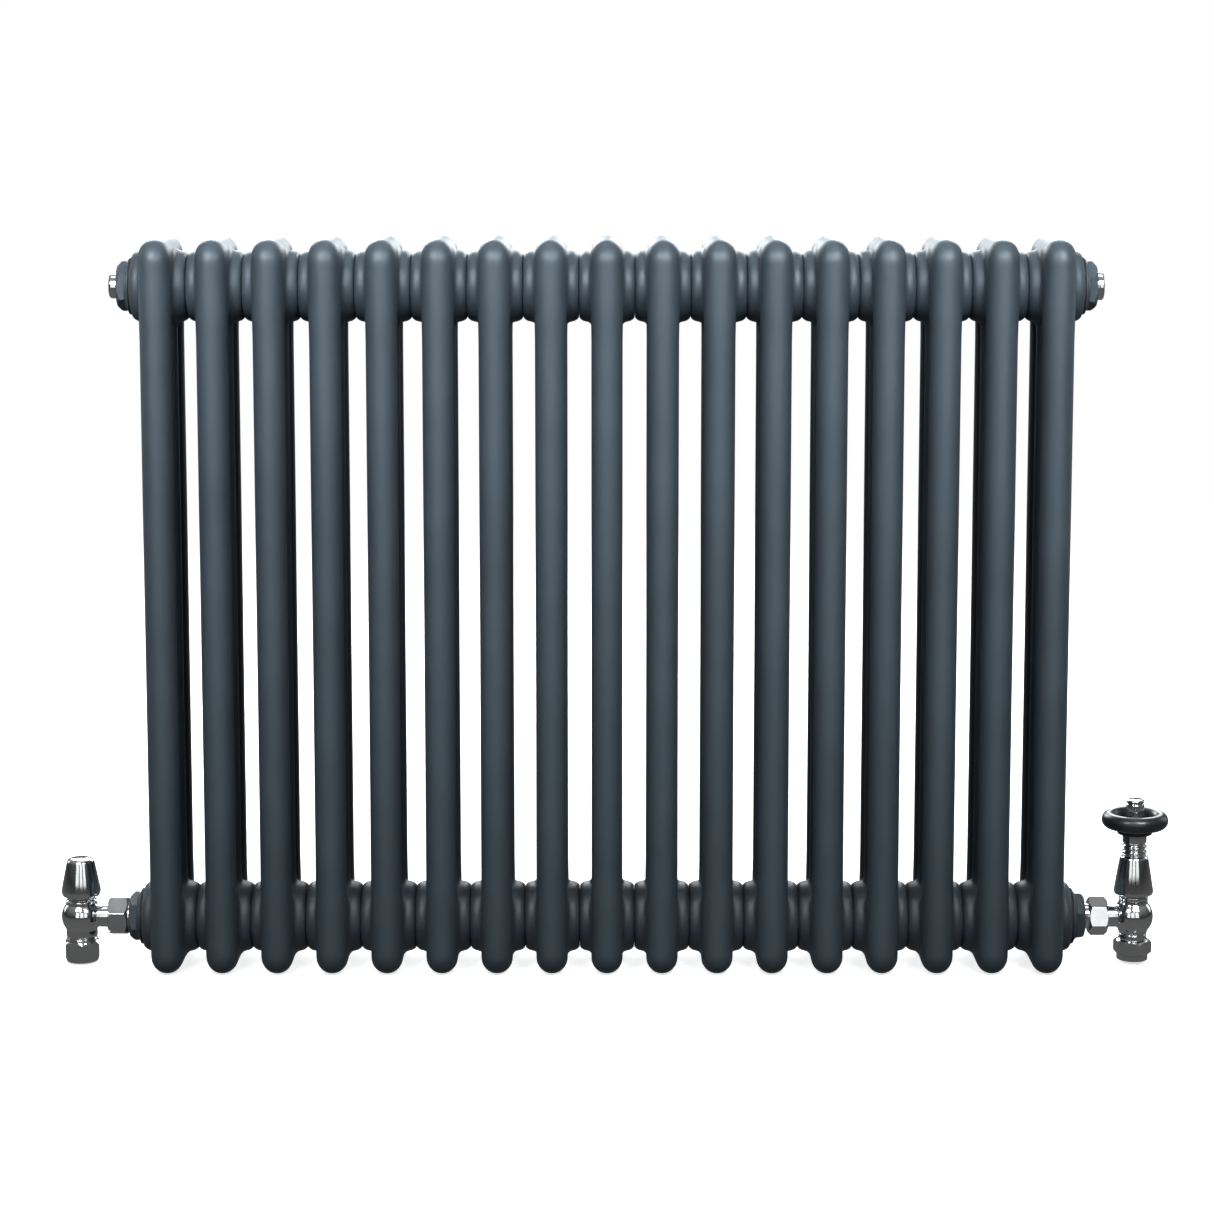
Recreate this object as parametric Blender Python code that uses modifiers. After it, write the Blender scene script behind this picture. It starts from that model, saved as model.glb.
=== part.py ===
"""Steel column radiator with a lockshield valve and a thermostatic valve.

Frame: X along the radiator, Y through its depth (the room is at -Y), Z up.
The origin is the middle of the underside of the centre section. Lengths below are in millimetres
and MM turns them into Blender's metres.
"""
import math

import bmesh
import bpy
from mathutils import Matrix, Vector

MM = 0.001
GAP = 0.3  # clearance kept between pieces that touch

# Radiator core: sections side by side, each with three columns
SECTION_COUNT = 17
PITCH = 45.0
HEIGHT = 600.0
COLUMN_SPACING = 37.5
TUBE_RADIUS = 12.5
HEAD_RADIUS = 12.8
HEAD_DEPTH = 70.0  # from the outer face of a head to its flat inner edge, just clear of the hubs
FOOT_LAND = 3.0  # half width of the flat along the crown of a head
PORT_INSET = 39.0  # from the top or bottom of the radiator to the waterway's axis
HUB_RADIUS = 29.5  # where a hub leaves the head's flank
HUB_FACE_RADIUS = 25.7  # where it meets its neighbour
WATERWAY_RADIUS = 19.0
WATERWAY_SIDES = 8
LOW_PORT = PORT_INSET
HIGH_PORT = HEIGHT - PORT_INSET
CORE_END = (SECTION_COUNT / 2) * PITCH - GAP / 2

# Corner fittings, measured outwards from the core's end face
GASKET_THICKNESS = 1.0
BUSH_SHANK_RADIUS = 16.8
BUSH_SHANK_DEPTH = 12.0
BUSH_COLLAR_RADII = (23.0, 19.5)
BUSH_COLLAR_END = 4.6
BUSH_FACE = 12.1
BUSH_ACROSS_FLATS = 35.0
BUSH_BORE_RADIUS = 10.5
PORT_THREAD_RADIUS = 9.95
PLUG_END = 19.2
VENT_FLANGE_RADIUS = 11.3
VENT_END = 18.2
VENT_BORE_RADIUS = 3.6
VENT_SEAT = 4.9
VENT_SEAT_RADIUS = 1.2
VENT_SLOT = (2.2, 1.8)  # width and depth
BLEED_SCREW_RADIUS = 3.1

# Valves: distances along the branch run from the valve's axis towards the radiator
LOCKSHIELD_X = -435.6
THERMOSTAT_X = 436.1
BRANCH_RADIUS = 9.2
BRANCH_THREAD_RADIUS = 11.8
BRANCH_BORE_RADIUS = 6.0
CHAMBER_RADIUS = 10.0
SEAT_RADIUS = 5.5
INLET_THREAD_RADIUS = 10.4
PIPE_BORE_RADIUS = 7.8
PIPE_STOP = 18.0
NUT_CORNER_RADIUS = 15.9
NUT_THREAD_RADIUS = 11.0

TURN = math.tau
SIDES = 12
BODY_SIDES = 16
FINE_SIDES = 20
HEX = 6

RADIATOR = bpy.data.collections.new("column_radiator")
CUTTERS = bpy.data.collections.new("cutters")


# ---------------------------------------------------------------- scene, materials, helpers

def clear_scene():
    for obj in list(bpy.data.objects):
        bpy.data.objects.remove(obj, do_unlink=True)
    bpy.context.scene.collection.children.link(RADIATOR)
    bpy.context.scene.collection.children.link(CUTTERS)


def finish(name, colour, roughness, metallic):
    """A plain Principled material."""
    material = bpy.data.materials.new(name)
    material.use_nodes = True
    shader = material.node_tree.nodes["Principled BSDF"]
    shader.inputs["Base Color"].default_value = (*colour, 1.0)
    shader.inputs["Roughness"].default_value = roughness
    shader.inputs["Metallic"].default_value = metallic
    return material


def add_object(name, mesh, material, parent=None, cutter=False):
    obj = bpy.data.objects.new(name, mesh)
    if cutter:
        CUTTERS.objects.link(obj)
        obj.hide_render = True
        obj.display_type = "WIRE"
    else:
        RADIATOR.objects.link(obj)
        mesh.materials.append(material)
    obj.parent = parent
    return obj


def axis_empty(name, x, z):
    """An empty that carries the pieces of one valve or port."""
    empty = bpy.data.objects.new(name, None)
    empty.location = (x * MM, 0.0, z * MM)
    RADIATOR.objects.link(empty)
    return empty


def turned(name, profile, material=None, parent=None, ring=False, sides=SIDES, cutter=False):
    """A solid of revolution about local Z. The profile runs down the outer side as (radius, height)."""
    mesh = bpy.data.meshes.new(name)
    points = [(radius * MM, 0.0, height * MM) for radius, height in profile]
    edges = [(i, i + 1) for i in range(len(points) - 1)]
    if ring:
        edges.append((len(points) - 1, 0))
    mesh.from_pydata(points, edges, [])
    obj = add_object(name, mesh, material, parent, cutter)
    screw = obj.modifiers.new("turn", "SCREW")
    screw.steps = sides
    screw.render_steps = sides
    screw.use_merge_vertices = True
    screw.merge_threshold = 0.00001
    screw.use_smooth_shade = True
    return obj


def prism(name, radius, low, high, material=None, parent=None, sides=SIDES, cutter=False):
    """A straight prism about local Z between two heights."""
    mesh = bpy.data.meshes.new(name)
    bm = bmesh.new()
    bmesh.ops.create_cone(
        bm,
        cap_ends=True,
        segments=sides,
        radius1=radius * MM,
        radius2=radius * MM,
        depth=(high - low) * MM,
        matrix=Matrix.Translation((0.0, 0.0, (low + high) / 2 * MM)),
    )
    bm.to_mesh(mesh)
    bm.free()
    return add_object(name, mesh, material, parent, cutter)


def box_cutter(name, size, centre, parent=None):
    mesh = bpy.data.meshes.new(name)
    bm = bmesh.new()
    bmesh.ops.create_cube(bm, size=1.0)
    bmesh.ops.scale(bm, vec=Vector(size) * MM, verts=bm.verts)
    bmesh.ops.translate(bm, vec=Vector(centre) * MM, verts=bm.verts)
    bm.to_mesh(mesh)
    bm.free()
    return add_object(name, mesh, None, parent, cutter=True)


def chamfered(obj, width):
    bevel = obj.modifiers.new("chamfer", "BEVEL")
    bevel.width = width * MM
    bevel.segments = 1
    bevel.limit_method = "ANGLE"
    return obj


def combine(obj, other, operation, solver="EXACT"):
    boolean = obj.modifiers.new(f"{operation.lower()}_{other.name}", "BOOLEAN")
    boolean.operation = operation
    boolean.object = other
    boolean.solver = solver
    return obj


def lay_along(obj, direction, twist=0.0):
    """Turns local Z onto world +X (direction 1) or -X (direction -1)."""
    obj.rotation_mode = "QUATERNION"
    lay = Vector((direction, 0.0, 0.0)).to_track_quat("Z", "Y")
    obj.rotation_quaternion = lay @ Matrix.Rotation(math.radians(twist), 3, "Z").to_quaternion()
    return obj


def sphere_arc(radius, centre, high, low, count):
    """Profile points on a ball between two heights, top to bottom."""
    start = math.asin((high - centre) / radius)
    end = math.asin((low - centre) / radius)
    angles = [start + (end - start) * i / count for i in range(count + 1)]
    return [(radius * math.cos(angle), centre + radius * math.sin(angle)) for angle in angles]


# ---------------------------------------------------------------- radiator sections

def stadium(bm, radius, height):
    """A ring of vertices around a slot shape whose long side lies along Y."""
    half = SIDES // 2
    ring = []
    for side in (1, -1):
        for i in range(half + 1):
            angle = math.pi * i / half if side == 1 else math.pi * (1 + i / half)
            x = radius * math.cos(angle)
            y = radius * math.sin(angle) + side * COLUMN_SPACING
            ring.append(bm.verts.new((x * MM, y * MM, height * MM)))
    return ring


def head(name, upper):
    """A round-crowned head: the crown is lofted in steps, then the flanks rise to the inner edge."""
    bm = bmesh.new()
    crown = [math.asin(FOOT_LAND / HEAD_RADIUS), math.radians(50), math.radians(90)]
    rings = [stadium(bm, HEAD_RADIUS * math.sin(a), HEAD_RADIUS * (1 - math.cos(a))) for a in crown[1:]]
    rings.insert(0, stadium(bm, FOOT_LAND, 0.0))
    rings.append(stadium(bm, HEAD_RADIUS, HEAD_DEPTH))
    for lower_ring, upper_ring in zip(rings, rings[1:]):
        for i in range(len(lower_ring)):
            j = (i + 1) % len(lower_ring)
            bm.faces.new((lower_ring[i], lower_ring[j], upper_ring[j], upper_ring[i]))
    bm.faces.new(list(reversed(rings[0])))
    bm.faces.new(rings[-1])
    if upper:
        bmesh.ops.rotate(bm, matrix=Matrix.Rotation(math.pi, 3, "Y"), verts=bm.verts)
        bmesh.ops.translate(bm, vec=(0.0, 0.0, HEIGHT * MM), verts=bm.verts)
    mesh = bpy.data.meshes.new(name)
    bm.to_mesh(mesh)
    bm.free()
    return add_object(name, mesh, None, cutter=True)


def section_mesh():
    """One welded section: two heads, three tubes and the hubs that meet its neighbours.

    The Manifold solver is used here, because the Exact one leaves open edges where the tubes meet the heads.
    """
    body = head("head_low", upper=False)
    combine(body, head("head_high", upper=True), "UNION", "MANIFOLD")
    for row in (-1, 0, 1):
        low, high = HEAD_DEPTH - 4.0, HEIGHT - HEAD_DEPTH + 4.0
        tube = prism(f"tube_{row}", TUBE_RADIUS, low, high, cutter=True)
        tube.location.y = row * COLUMN_SPACING * MM
        tube.rotation_euler.z = math.pi / 2
        combine(body, tube, "UNION", "MANIFOLD")
    face = PITCH / 2 - GAP / 2
    for port in (LOW_PORT, HIGH_PORT):
        profile = [
            (0.0, face), (HUB_FACE_RADIUS, face), (HUB_RADIUS, TUBE_RADIUS),
            (HUB_RADIUS, -TUBE_RADIUS), (HUB_FACE_RADIUS, -face), (0.0, -face),
        ]
        hub = turned(f"hub_{port:.0f}", profile, cutter=True)
        hub.location.z = port * MM
        combine(body, lay_along(hub, 1), "UNION", "MANIFOLD")
        bore = prism(
            f"bore_{port:.0f}", WATERWAY_RADIUS, -PITCH, PITCH, sides=WATERWAY_SIDES, cutter=True
        )
        bore.location.z = port * MM
        combine(body, lay_along(bore, 1), "DIFFERENCE", "MANIFOLD")
    bpy.context.view_layer.update()
    graph = bpy.context.evaluated_depsgraph_get()
    mesh = bpy.data.meshes.new_from_object(body.evaluated_get(graph))
    mesh.name = "section"
    mesh.shade_smooth()
    mesh.set_sharp_from_angle(angle=math.radians(40))
    for helper in list(CUTTERS.objects):
        bpy.data.objects.remove(helper, do_unlink=True)
    return mesh


def make_sections(paint):
    mesh = section_mesh()
    mesh.materials.clear()
    mesh.materials.append(paint)
    for index in range(SECTION_COUNT):
        obj = bpy.data.objects.new(f"section_{index + 1:02d}", mesh)
        obj.location.x = (index - (SECTION_COUNT - 1) / 2) * PITCH * MM
        RADIATOR.objects.link(obj)


# ---------------------------------------------------------------- corner fittings

def make_bush(corner, side, twist, parent, paint, rubber):
    """A reducing bush screwed into a hub, over a flat gasket. Heights run outwards."""
    seat = GAP + GASKET_THICKNESS + GAP
    wide, narrow = BUSH_COLLAR_RADII
    gasket = turned(
        f"gasket_{corner}",
        [(22.3, GAP + GASKET_THICKNESS), (22.3, GAP), (17.4, GAP), (17.4, GAP + GASKET_THICKNESS)],
        rubber, parent, ring=True,
    )
    lay_along(gasket, side)
    profile = [
        (0.0, BUSH_COLLAR_END + 0.8), (narrow - 1.6, BUSH_COLLAR_END + 0.8), (narrow, BUSH_COLLAR_END - 0.9),
        (wide, seat + 0.9), (wide, seat), (BUSH_SHANK_RADIUS, seat),
        (BUSH_SHANK_RADIUS, -BUSH_SHANK_DEPTH), (0.0, -BUSH_SHANK_DEPTH),
    ]
    bush = turned(f"bush_{corner}", profile, paint, parent)
    lay_along(bush, side)
    corner_radius = BUSH_ACROSS_FLATS / math.sqrt(3)
    hexagon = prism(
        f"bush_hex_{corner}", corner_radius, BUSH_COLLAR_END, BUSH_FACE, parent=parent, sides=HEX, cutter=True
    )
    combine(bush, lay_along(hexagon, side, twist), "UNION")
    bore = prism(f"bush_bore_{corner}", BUSH_BORE_RADIUS, -40.0, 40.0, parent=parent, cutter=True)
    combine(bush, lay_along(bore, side), "DIFFERENCE")


def make_blanking_plug(side, parent, chrome):
    """A headless plug with a domed end and a hexagonal key socket."""
    profile = [
        (0.0, PLUG_END), (PORT_THREAD_RADIUS - 1.8, PLUG_END), (PORT_THREAD_RADIUS - 0.5, PLUG_END - 0.6),
        (PORT_THREAD_RADIUS, PLUG_END - 1.9), (PORT_THREAD_RADIUS, 2.0), (0.0, 2.0),
    ]
    plug = turned("blanking_plug", profile, chrome, parent)
    lay_along(plug, side)
    socket = prism("plug_socket", 4.6, PLUG_END - 5.0, PLUG_END + 1.0, parent=parent, sides=HEX, cutter=True)
    combine(plug, lay_along(socket, side, 30.0), "DIFFERENCE")


def make_air_vent(side, parent, chrome, brass):
    """A screwed vent with a driver slot, and inside it a needle that its square-ended screw lifts."""
    flange_back = BUSH_FACE + GAP
    profile = [
        (0.0, VENT_END), (VENT_FLANGE_RADIUS - 1.2, VENT_END), (VENT_FLANGE_RADIUS, VENT_END - 1.2),
        (VENT_FLANGE_RADIUS, flange_back), (PORT_THREAD_RADIUS, flange_back),
        (PORT_THREAD_RADIUS, 2.0), (0.0, 2.0),
    ]
    vent = turned("air_vent_body", profile, chrome, parent)
    lay_along(vent, side)
    bore_profile = [
        (0.0, VENT_END + 2.0), (VENT_BORE_RADIUS, VENT_END + 2.0), (VENT_BORE_RADIUS, VENT_SEAT),
        (VENT_SEAT_RADIUS, VENT_SEAT), (VENT_SEAT_RADIUS, 0.0), (0.0, 0.0),
    ]
    bore = turned("vent_bore", bore_profile, parent=parent, cutter=True)
    combine(vent, lay_along(bore, side), "DIFFERENCE")
    width, depth = VENT_SLOT
    slot = box_cutter("vent_slot", (width, 40.0, 2 * depth), (0.0, 0.0, VENT_END), parent)
    combine(vent, lay_along(slot, side), "DIFFERENCE")
    tip = VENT_SEAT + GAP
    needle = turned(
        "air_vent_needle",
        [(0.0, tip + 3.0), (2.6, tip + 3.0), (2.6, tip + 1.4), (0.9, tip), (0.0, tip)],
        brass, parent,
    )
    lay_along(needle, side)
    foot = tip + 3.0 + GAP
    square_start = VENT_END - 3.0
    screw = prism("air_vent_screw", BLEED_SCREW_RADIUS, foot, square_start, brass, parent)
    lay_along(screw, side)
    square = prism("vent_square", 2.9, foot + 1.0, VENT_END - 0.3, parent=parent, sides=4, cutter=True)
    combine(screw, lay_along(square, side, 45.0), "UNION")


# ---------------------------------------------------------------- valve parts shared by both valves

def make_valve_body(name, side, outer, chamber_top, seat, thread_end, branch_end, parent, chrome):
    """An angled body: turned ball and necks, a side branch, and stepped bores that meet at the seat."""
    body = turned(name, outer, chrome, parent, sides=BODY_SIDES)
    neck_end = branch_end - 9.0
    branch_profile = [
        (0.0, branch_end), (BRANCH_THREAD_RADIUS, branch_end), (BRANCH_THREAD_RADIUS, neck_end),
        (BRANCH_RADIUS, neck_end), (BRANCH_RADIUS, 6.0), (0.0, 6.0),
    ]
    branch = turned(f"{name}_branch", branch_profile, parent=parent, cutter=True)
    branch.location.z = LOW_PORT * MM
    combine(body, lay_along(branch, side), "UNION")
    bore_profile = [
        (0.0, chamber_top + 5.0), (CHAMBER_RADIUS, chamber_top + 5.0), (CHAMBER_RADIUS, seat),
        (SEAT_RADIUS, seat), (SEAT_RADIUS, PIPE_STOP), (PIPE_BORE_RADIUS, PIPE_STOP),
        (PIPE_BORE_RADIUS, thread_end - 2.0), (0.0, thread_end - 2.0),
    ]
    combine(body, turned(f"{name}_bore", bore_profile, parent=parent, cutter=True), "DIFFERENCE")
    outlet = prism(
        f"{name}_outlet", BRANCH_BORE_RADIUS, 7.0, branch_end + 2.0, parent=parent, cutter=True
    )
    outlet.location.z = LOW_PORT * MM
    combine(body, lay_along(outlet, side), "DIFFERENCE")


def make_union(prefix, side, twist, nut_start, nut_end, corner, tail_radius, bush_face, parent, chrome):
    """A tail piece screwed into the bush, and the nut that pulls its flange onto the branch."""
    flange_start = nut_end - 6.1
    wall = nut_end - 3.5
    tail_profile = [
        (7.2, bush_face + 10.0), (PORT_THREAD_RADIUS, bush_face + 10.0),
        (PORT_THREAD_RADIUS, bush_face - GAP), (tail_radius, bush_face - GAP),
        (tail_radius, flange_start + 2.2), (BRANCH_THREAD_RADIUS, flange_start + 2.2),
        (BRANCH_THREAD_RADIUS, flange_start), (7.2, flange_start),
    ]
    tail = turned(f"{prefix}_tail", tail_profile, chrome, parent, ring=True)
    tail.location.z = LOW_PORT * MM
    lay_along(tail, side)
    nut = chamfered(prism(f"{prefix}_union_nut", corner, nut_start, nut_end, chrome, parent, HEX), 1.0)
    nut.location.z = LOW_PORT * MM
    lay_along(nut, side, twist)
    bore_profile = [
        (0.0, nut_end + 2.0), (tail_radius + 0.4, nut_end + 2.0), (tail_radius + 0.4, wall),
        (BRANCH_THREAD_RADIUS + 0.6, wall), (BRANCH_THREAD_RADIUS + 0.6, nut_start - 2.0),
        (0.0, nut_start - 2.0),
    ]
    bore = turned(f"{prefix}_union_bore", bore_profile, parent=parent, cutter=True)
    bore.location.z = LOW_PORT * MM
    lay_along(bore, side, 0.0)
    combine(nut, bore, "DIFFERENCE")


def make_compression_joint(prefix, twist, top, hex_bottom, bottom, rim, thread_end, parent, chrome, brass):
    """The nut that takes the 15 mm pipe from below, and the olive that it squeezes."""
    nut = chamfered(
        prism(f"{prefix}_inlet_nut", NUT_CORNER_RADIUS, hex_bottom, top, chrome, parent, HEX), 0.9
    )
    nut.rotation_euler.z = math.radians(twist)
    collar = turned(
        f"{prefix}_nut_rim",
        [(0.0, hex_bottom + 2.0), (rim, hex_bottom + 2.0), (rim, bottom), (0.0, bottom)],
        parent=parent, cutter=True,
    )
    combine(nut, collar, "UNION")
    shoulder = thread_end - 3.5
    bore_profile = [
        (0.0, top + 2.0), (NUT_THREAD_RADIUS, top + 2.0), (NUT_THREAD_RADIUS, shoulder),
        (PIPE_BORE_RADIUS, shoulder), (PIPE_BORE_RADIUS, bottom - 2.0), (0.0, bottom - 2.0),
    ]
    combine(nut, turned(f"{prefix}_nut_bore", bore_profile, parent=parent, cutter=True), "DIFFERENCE")
    low, high = shoulder + GAP, thread_end - GAP
    middle = (low + high) / 2
    turned(
        f"{prefix}_olive",
        [(PIPE_BORE_RADIUS + 1.0, high), (PIPE_BORE_RADIUS + 2.2, middle),
         (PIPE_BORE_RADIUS + 1.0, low), (PIPE_BORE_RADIUS, low), (PIPE_BORE_RADIUS, high)],
        brass, parent, ring=True,
    )


# ---------------------------------------------------------------- lockshield valve

def make_lockshield(chrome, brass):
    parent = axis_empty("lockshield_axis", LOCKSHIELD_X, 0.0)
    ball, top, seat, thread_end = 16.4, 49.6, 34.0, 9.0
    outer = [(0.0, top)] + sphere_arc(ball, LOW_PORT, top, 28.75, 7) + [
        (12.8, 22.8), (11.6, 22.5), (11.6, 21.1), (12.8, 20.8), (12.8, 19.3),
        (INLET_THREAD_RADIUS, 19.3), (INLET_THREAD_RADIUS, thread_end), (0.0, thread_end),
    ]
    bush_face = -LOCKSHIELD_X - CORE_END - BUSH_FACE
    make_valve_body("lockshield_body", 1, outer, top, seat, thread_end, 33.0, parent, chrome)
    make_union("lockshield", 1, 10.0, 23.1, 39.5, 16.6, 10.9, bush_face, parent, chrome)
    make_compression_joint("lockshield", 9.0, 18.9, 3.6, 1.5, 13.2, thread_end, parent, chrome, brass)
    bonnet = [
        (9.0, 60.0), (9.0, 53.0), (12.8, 52.6), (12.8, 50.2), (12.2, top + GAP), (9.5, top + GAP),
        (9.5, 44.0), (4.3, 44.0), (4.3, 60.0),
    ]
    turned("lockshield_bonnet", bonnet, chrome, parent, ring=True)
    plug_profile = [
        (2.9, 40.1), (7.0, 40.1), (8.0, 39.1), (8.0, seat + 1.6), (0.0, seat + 1.6), (0.0, 37.2), (2.9, 37.2)
    ]
    turned("lockshield_plug", plug_profile, brass, parent, ring=True)
    spindle_profile = [
        (0.0, 63.0), (3.9, 63.0), (3.9, 40.5), (2.4, 40.5), (2.4, 37.6), (0.0, 37.6)
    ]
    spindle = turned("lockshield_spindle", spindle_profile, brass, parent)
    square = prism("spindle_square", 3.8, 61.0, 71.0, parent=parent, sides=4, cutter=True)
    combine(spindle, square, "UNION")
    cap_profile = [
        (0.0, 88.2), (8.6, 87.9), (10.6, 87.2), (11.3, 86.0), (16.05, 61.6), (16.05, 59.8),
        (15.3, 57.4), (14.6, 56.4), (13.4, 56.4), (13.4, 58.4), (9.4, 58.4), (9.4, 83.0), (0.0, 84.6),
    ]
    turned("lockshield_cap", cap_profile, chrome, parent, sides=FINE_SIDES)


# ---------------------------------------------------------------- thermostatic valve

def make_return_spring(floor, top, parent, steel):
    """A round-wire coil between the insert's floor and the pin's collar."""
    wire, coil, turns, per_turn = 0.55, 4.5, 4.5, 8
    count = int(turns * per_turn)
    curve = bpy.data.curves.new("thermostat_spring", "CURVE")
    curve.dimensions = "3D"
    curve.bevel_depth = wire * MM
    curve.bevel_resolution = 1
    curve.use_fill_caps = True
    spline = curve.splines.new("POLY")
    spline.points.add(count)
    low, high = floor + GAP + wire, top - GAP - wire
    for i, point in enumerate(spline.points):
        angle = TURN * i / per_turn
        height = low + (high - low) * i / count
        point.co = (coil * math.cos(angle) * MM, coil * math.sin(angle) * MM, height * MM, 1.0)
    curve.materials.append(steel)
    obj = bpy.data.objects.new("thermostat_spring", curve)
    RADIATOR.objects.link(obj)
    obj.parent = parent


def make_thermostat_insert(seat, body_top, parent, chrome, steel, rubber):
    """The headwork: a cup screwed into the body, with the sprung pin and its sealing disc."""
    floor, rim, collar = 50.0, 66.0, 62.6
    insert = [
        (8.0, rim), (8.0, 56.9), (12.15, 56.4), (12.15, 53.2), (11.5, body_top + GAP),
        (9.5, body_top + GAP), (9.5, 46.0), (2.5, 46.0), (2.5, floor), (6.2, floor), (6.2, rim),
    ]
    turned("thermostat_insert", insert, chrome, parent, ring=True)
    make_return_spring(floor, collar, parent, steel)
    pin = [
        (0.0, 69.0), (2.0, 69.0), (2.0, collar + 1.5), (5.6, collar + 1.5), (5.6, collar),
        (2.0, collar), (2.0, 39.0), (6.8, 39.0), (6.8, 37.4), (0.0, 37.4),
    ]
    turned("thermostat_pin", pin, steel, parent)
    disc_high, disc_low = 37.4 - GAP, seat + 2.8
    disc = [(0.0, disc_high), (6.8, disc_high), (6.8, disc_low + 0.4), (6.2, disc_low), (0.0, disc_low)]
    turned("thermostat_disc", disc, rubber, parent)


def make_thermostat_head(parent, chrome, black, steel):
    """The sensor in its tapered barrel, the ringed neck, and the wheel with its hub, plate and knob."""
    sensor = [
        (0.0, 88.2), (4.0, 88.2), (4.0, 86.0), (8.0, 86.0), (8.6, 85.2), (8.6, 69.3), (0.0, 69.3)
    ]
    turned("thermostat_sensor", sensor, steel, parent)
    barrel = [
        (11.0, 89.7), (11.7, 88.6), (16.2, 61.0), (16.2, 59.6), (15.3, 58.0), (13.9, 58.0), (13.9, 60.0),
        (8.5, 60.0), (8.5, 66.0), (9.4, 67.0), (9.4, 87.8), (7.0, 87.8), (7.0, 89.7),
    ]
    turned("thermostat_barrel", barrel, chrome, parent, ring=True, sides=FINE_SIDES)
    neck = [(9.95, 108.6), (9.95, 101.7), (8.5, 100.8), (8.5, 99.6)]
    neck += [(10.25, 98.9), (10.25, 97.5), (8.5, 96.4), (8.5, 95.0), (10.25, 94.1), (10.25, 92.5)]
    neck += [(9.25, 91.6), (9.25, 90.0), (6.6, 90.0), (6.6, 88.2), (5.5, 88.2), (5.5, 108.6)]
    turned("thermostat_neck", neck, chrome, parent, ring=True)
    hub = [
        (0.0, 118.0), (4.8, 118.0), (4.8, 114.0), (10.0, 114.0), (10.0, 112.7), (14.3, 112.7),
        (14.3, 108.9), (5.0, 108.9), (5.0, 88.9), (0.0, 88.9),
    ]
    turned("thermostat_hub", hub, black, parent)
    turned("thermostat_wheel", wheel_profile(), black, parent, ring=True, sides=FINE_SIDES)
    plate = [(13.6, 118.0), (14.8, 117.4), (14.8, 116.6), (5.3, 116.6), (5.3, 118.0)]
    turned("thermostat_plate", plate, chrome, parent, ring=True)
    knob = [
        (0.0, 137.7), (6.6, 137.7), (7.45, 136.9), (7.45, 135.2), (6.7, 134.8), (6.7, 133.8),
        (7.45, 133.4), (7.45, 121.0), (8.8, 119.6), (8.8, 118.4), (0.0, 118.4),
    ]
    turned("thermostat_knob", knob, chrome, parent)


def wheel_profile():
    """A fat elliptical rim carried by a flat web with a hole for the hub's spigot."""
    rim_radius, rim_height, across, tall = 21.35, 120.3, 5.9, 6.5
    web_high, web_low, hole = 116.3, 114.3, 5.3
    start = math.pi - math.asin((web_high - rim_height) / tall)
    end = -math.pi - math.asin((web_low - rim_height) / tall)
    steps = 9
    rim = []
    for i in range(steps + 1):
        angle = start + (end - start) * i / steps
        rim.append((rim_radius + across * math.cos(angle), rim_height + tall * math.sin(angle)))
    return [*rim, (hole, web_low), (hole, web_high)]


def make_thermostat(chrome, brass, black, steel, rubber):
    parent = axis_empty("thermostat_axis", THERMOSTAT_X, 0.0)
    ball, top, seat, thread_end = 16.5, 52.4, 32.0, 10.0
    outer = [(0.0, top), (12.0, top)] + sphere_arc(ball, LOW_PORT, 50.3, 27.6, 7) + [
        (11.9, 25.9), (10.7, 25.6), (10.7, 24.4), (11.4, 24.1), (11.4, 19.7),
        (INLET_THREAD_RADIUS, 19.7), (INLET_THREAD_RADIUS, thread_end), (0.0, thread_end),
    ]
    bush_face = THERMOSTAT_X - CORE_END - BUSH_FACE
    make_valve_body("thermostat_body", -1, outer, top, seat, thread_end, 31.3, parent, chrome)
    make_union("thermostat", -1, 10.0, 22.1, 37.8, 16.1, 10.4, bush_face, parent, chrome)
    make_compression_joint("thermostat", 13.0, 19.3, 7.7, 2.8, 12.85, thread_end, parent, chrome, brass)
    make_thermostat_insert(seat, top, parent, chrome, steel, rubber)
    make_thermostat_head(parent, chrome, black, steel)


def main():
    clear_scene()
    paint = finish("anthracite_powder_coat", (0.045, 0.055, 0.065), 0.42, 0.0)
    chrome = finish("chrome", (0.55, 0.56, 0.57), 0.08, 1.0)
    brass = finish("bare_brass", (0.65, 0.47, 0.20), 0.35, 1.0)
    steel = finish("bare_steel", (0.50, 0.50, 0.50), 0.30, 1.0)
    black = finish("black_moulding", (0.012, 0.012, 0.013), 0.35, 0.0)
    rubber = finish("black_rubber", (0.015, 0.015, 0.015), 0.80, 0.0)
    make_sections(paint)
    corners = {
        "top_left": (-1, HIGH_PORT, 0.0), "top_right": (1, HIGH_PORT, 6.0),
        "bottom_left": (-1, LOW_PORT, 10.0), "bottom_right": (1, LOW_PORT, 10.0),
    }
    for corner, (side, port, twist) in corners.items():
        axis = axis_empty(f"port_{corner}", side * CORE_END, port)
        make_bush(corner, side, twist, axis, paint, rubber)
        if corner == "top_left":
            make_blanking_plug(side, axis, chrome)
        if corner == "top_right":
            make_air_vent(side, axis, chrome, brass)
    make_lockshield(chrome, brass)
    make_thermostat(chrome, brass, black, steel, rubber)


main()
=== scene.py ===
# %% [markdown]
# # A column radiator and its two valves
#
# The part is a steel radiator made of seventeen welded sections. A lockshield valve feeds it on the
# left and a thermostatic valve on the right. The engineering model has the true sizes but coarse
# curves, so this lesson rebuilds each visible piece with fine curves around it, in the same place,
# and then gives every piece a finish that is made from nodes.

# %% Load the frame
import math

import bmesh
import bpy
import numpy as np
from mathutils import Matrix, Vector


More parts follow.
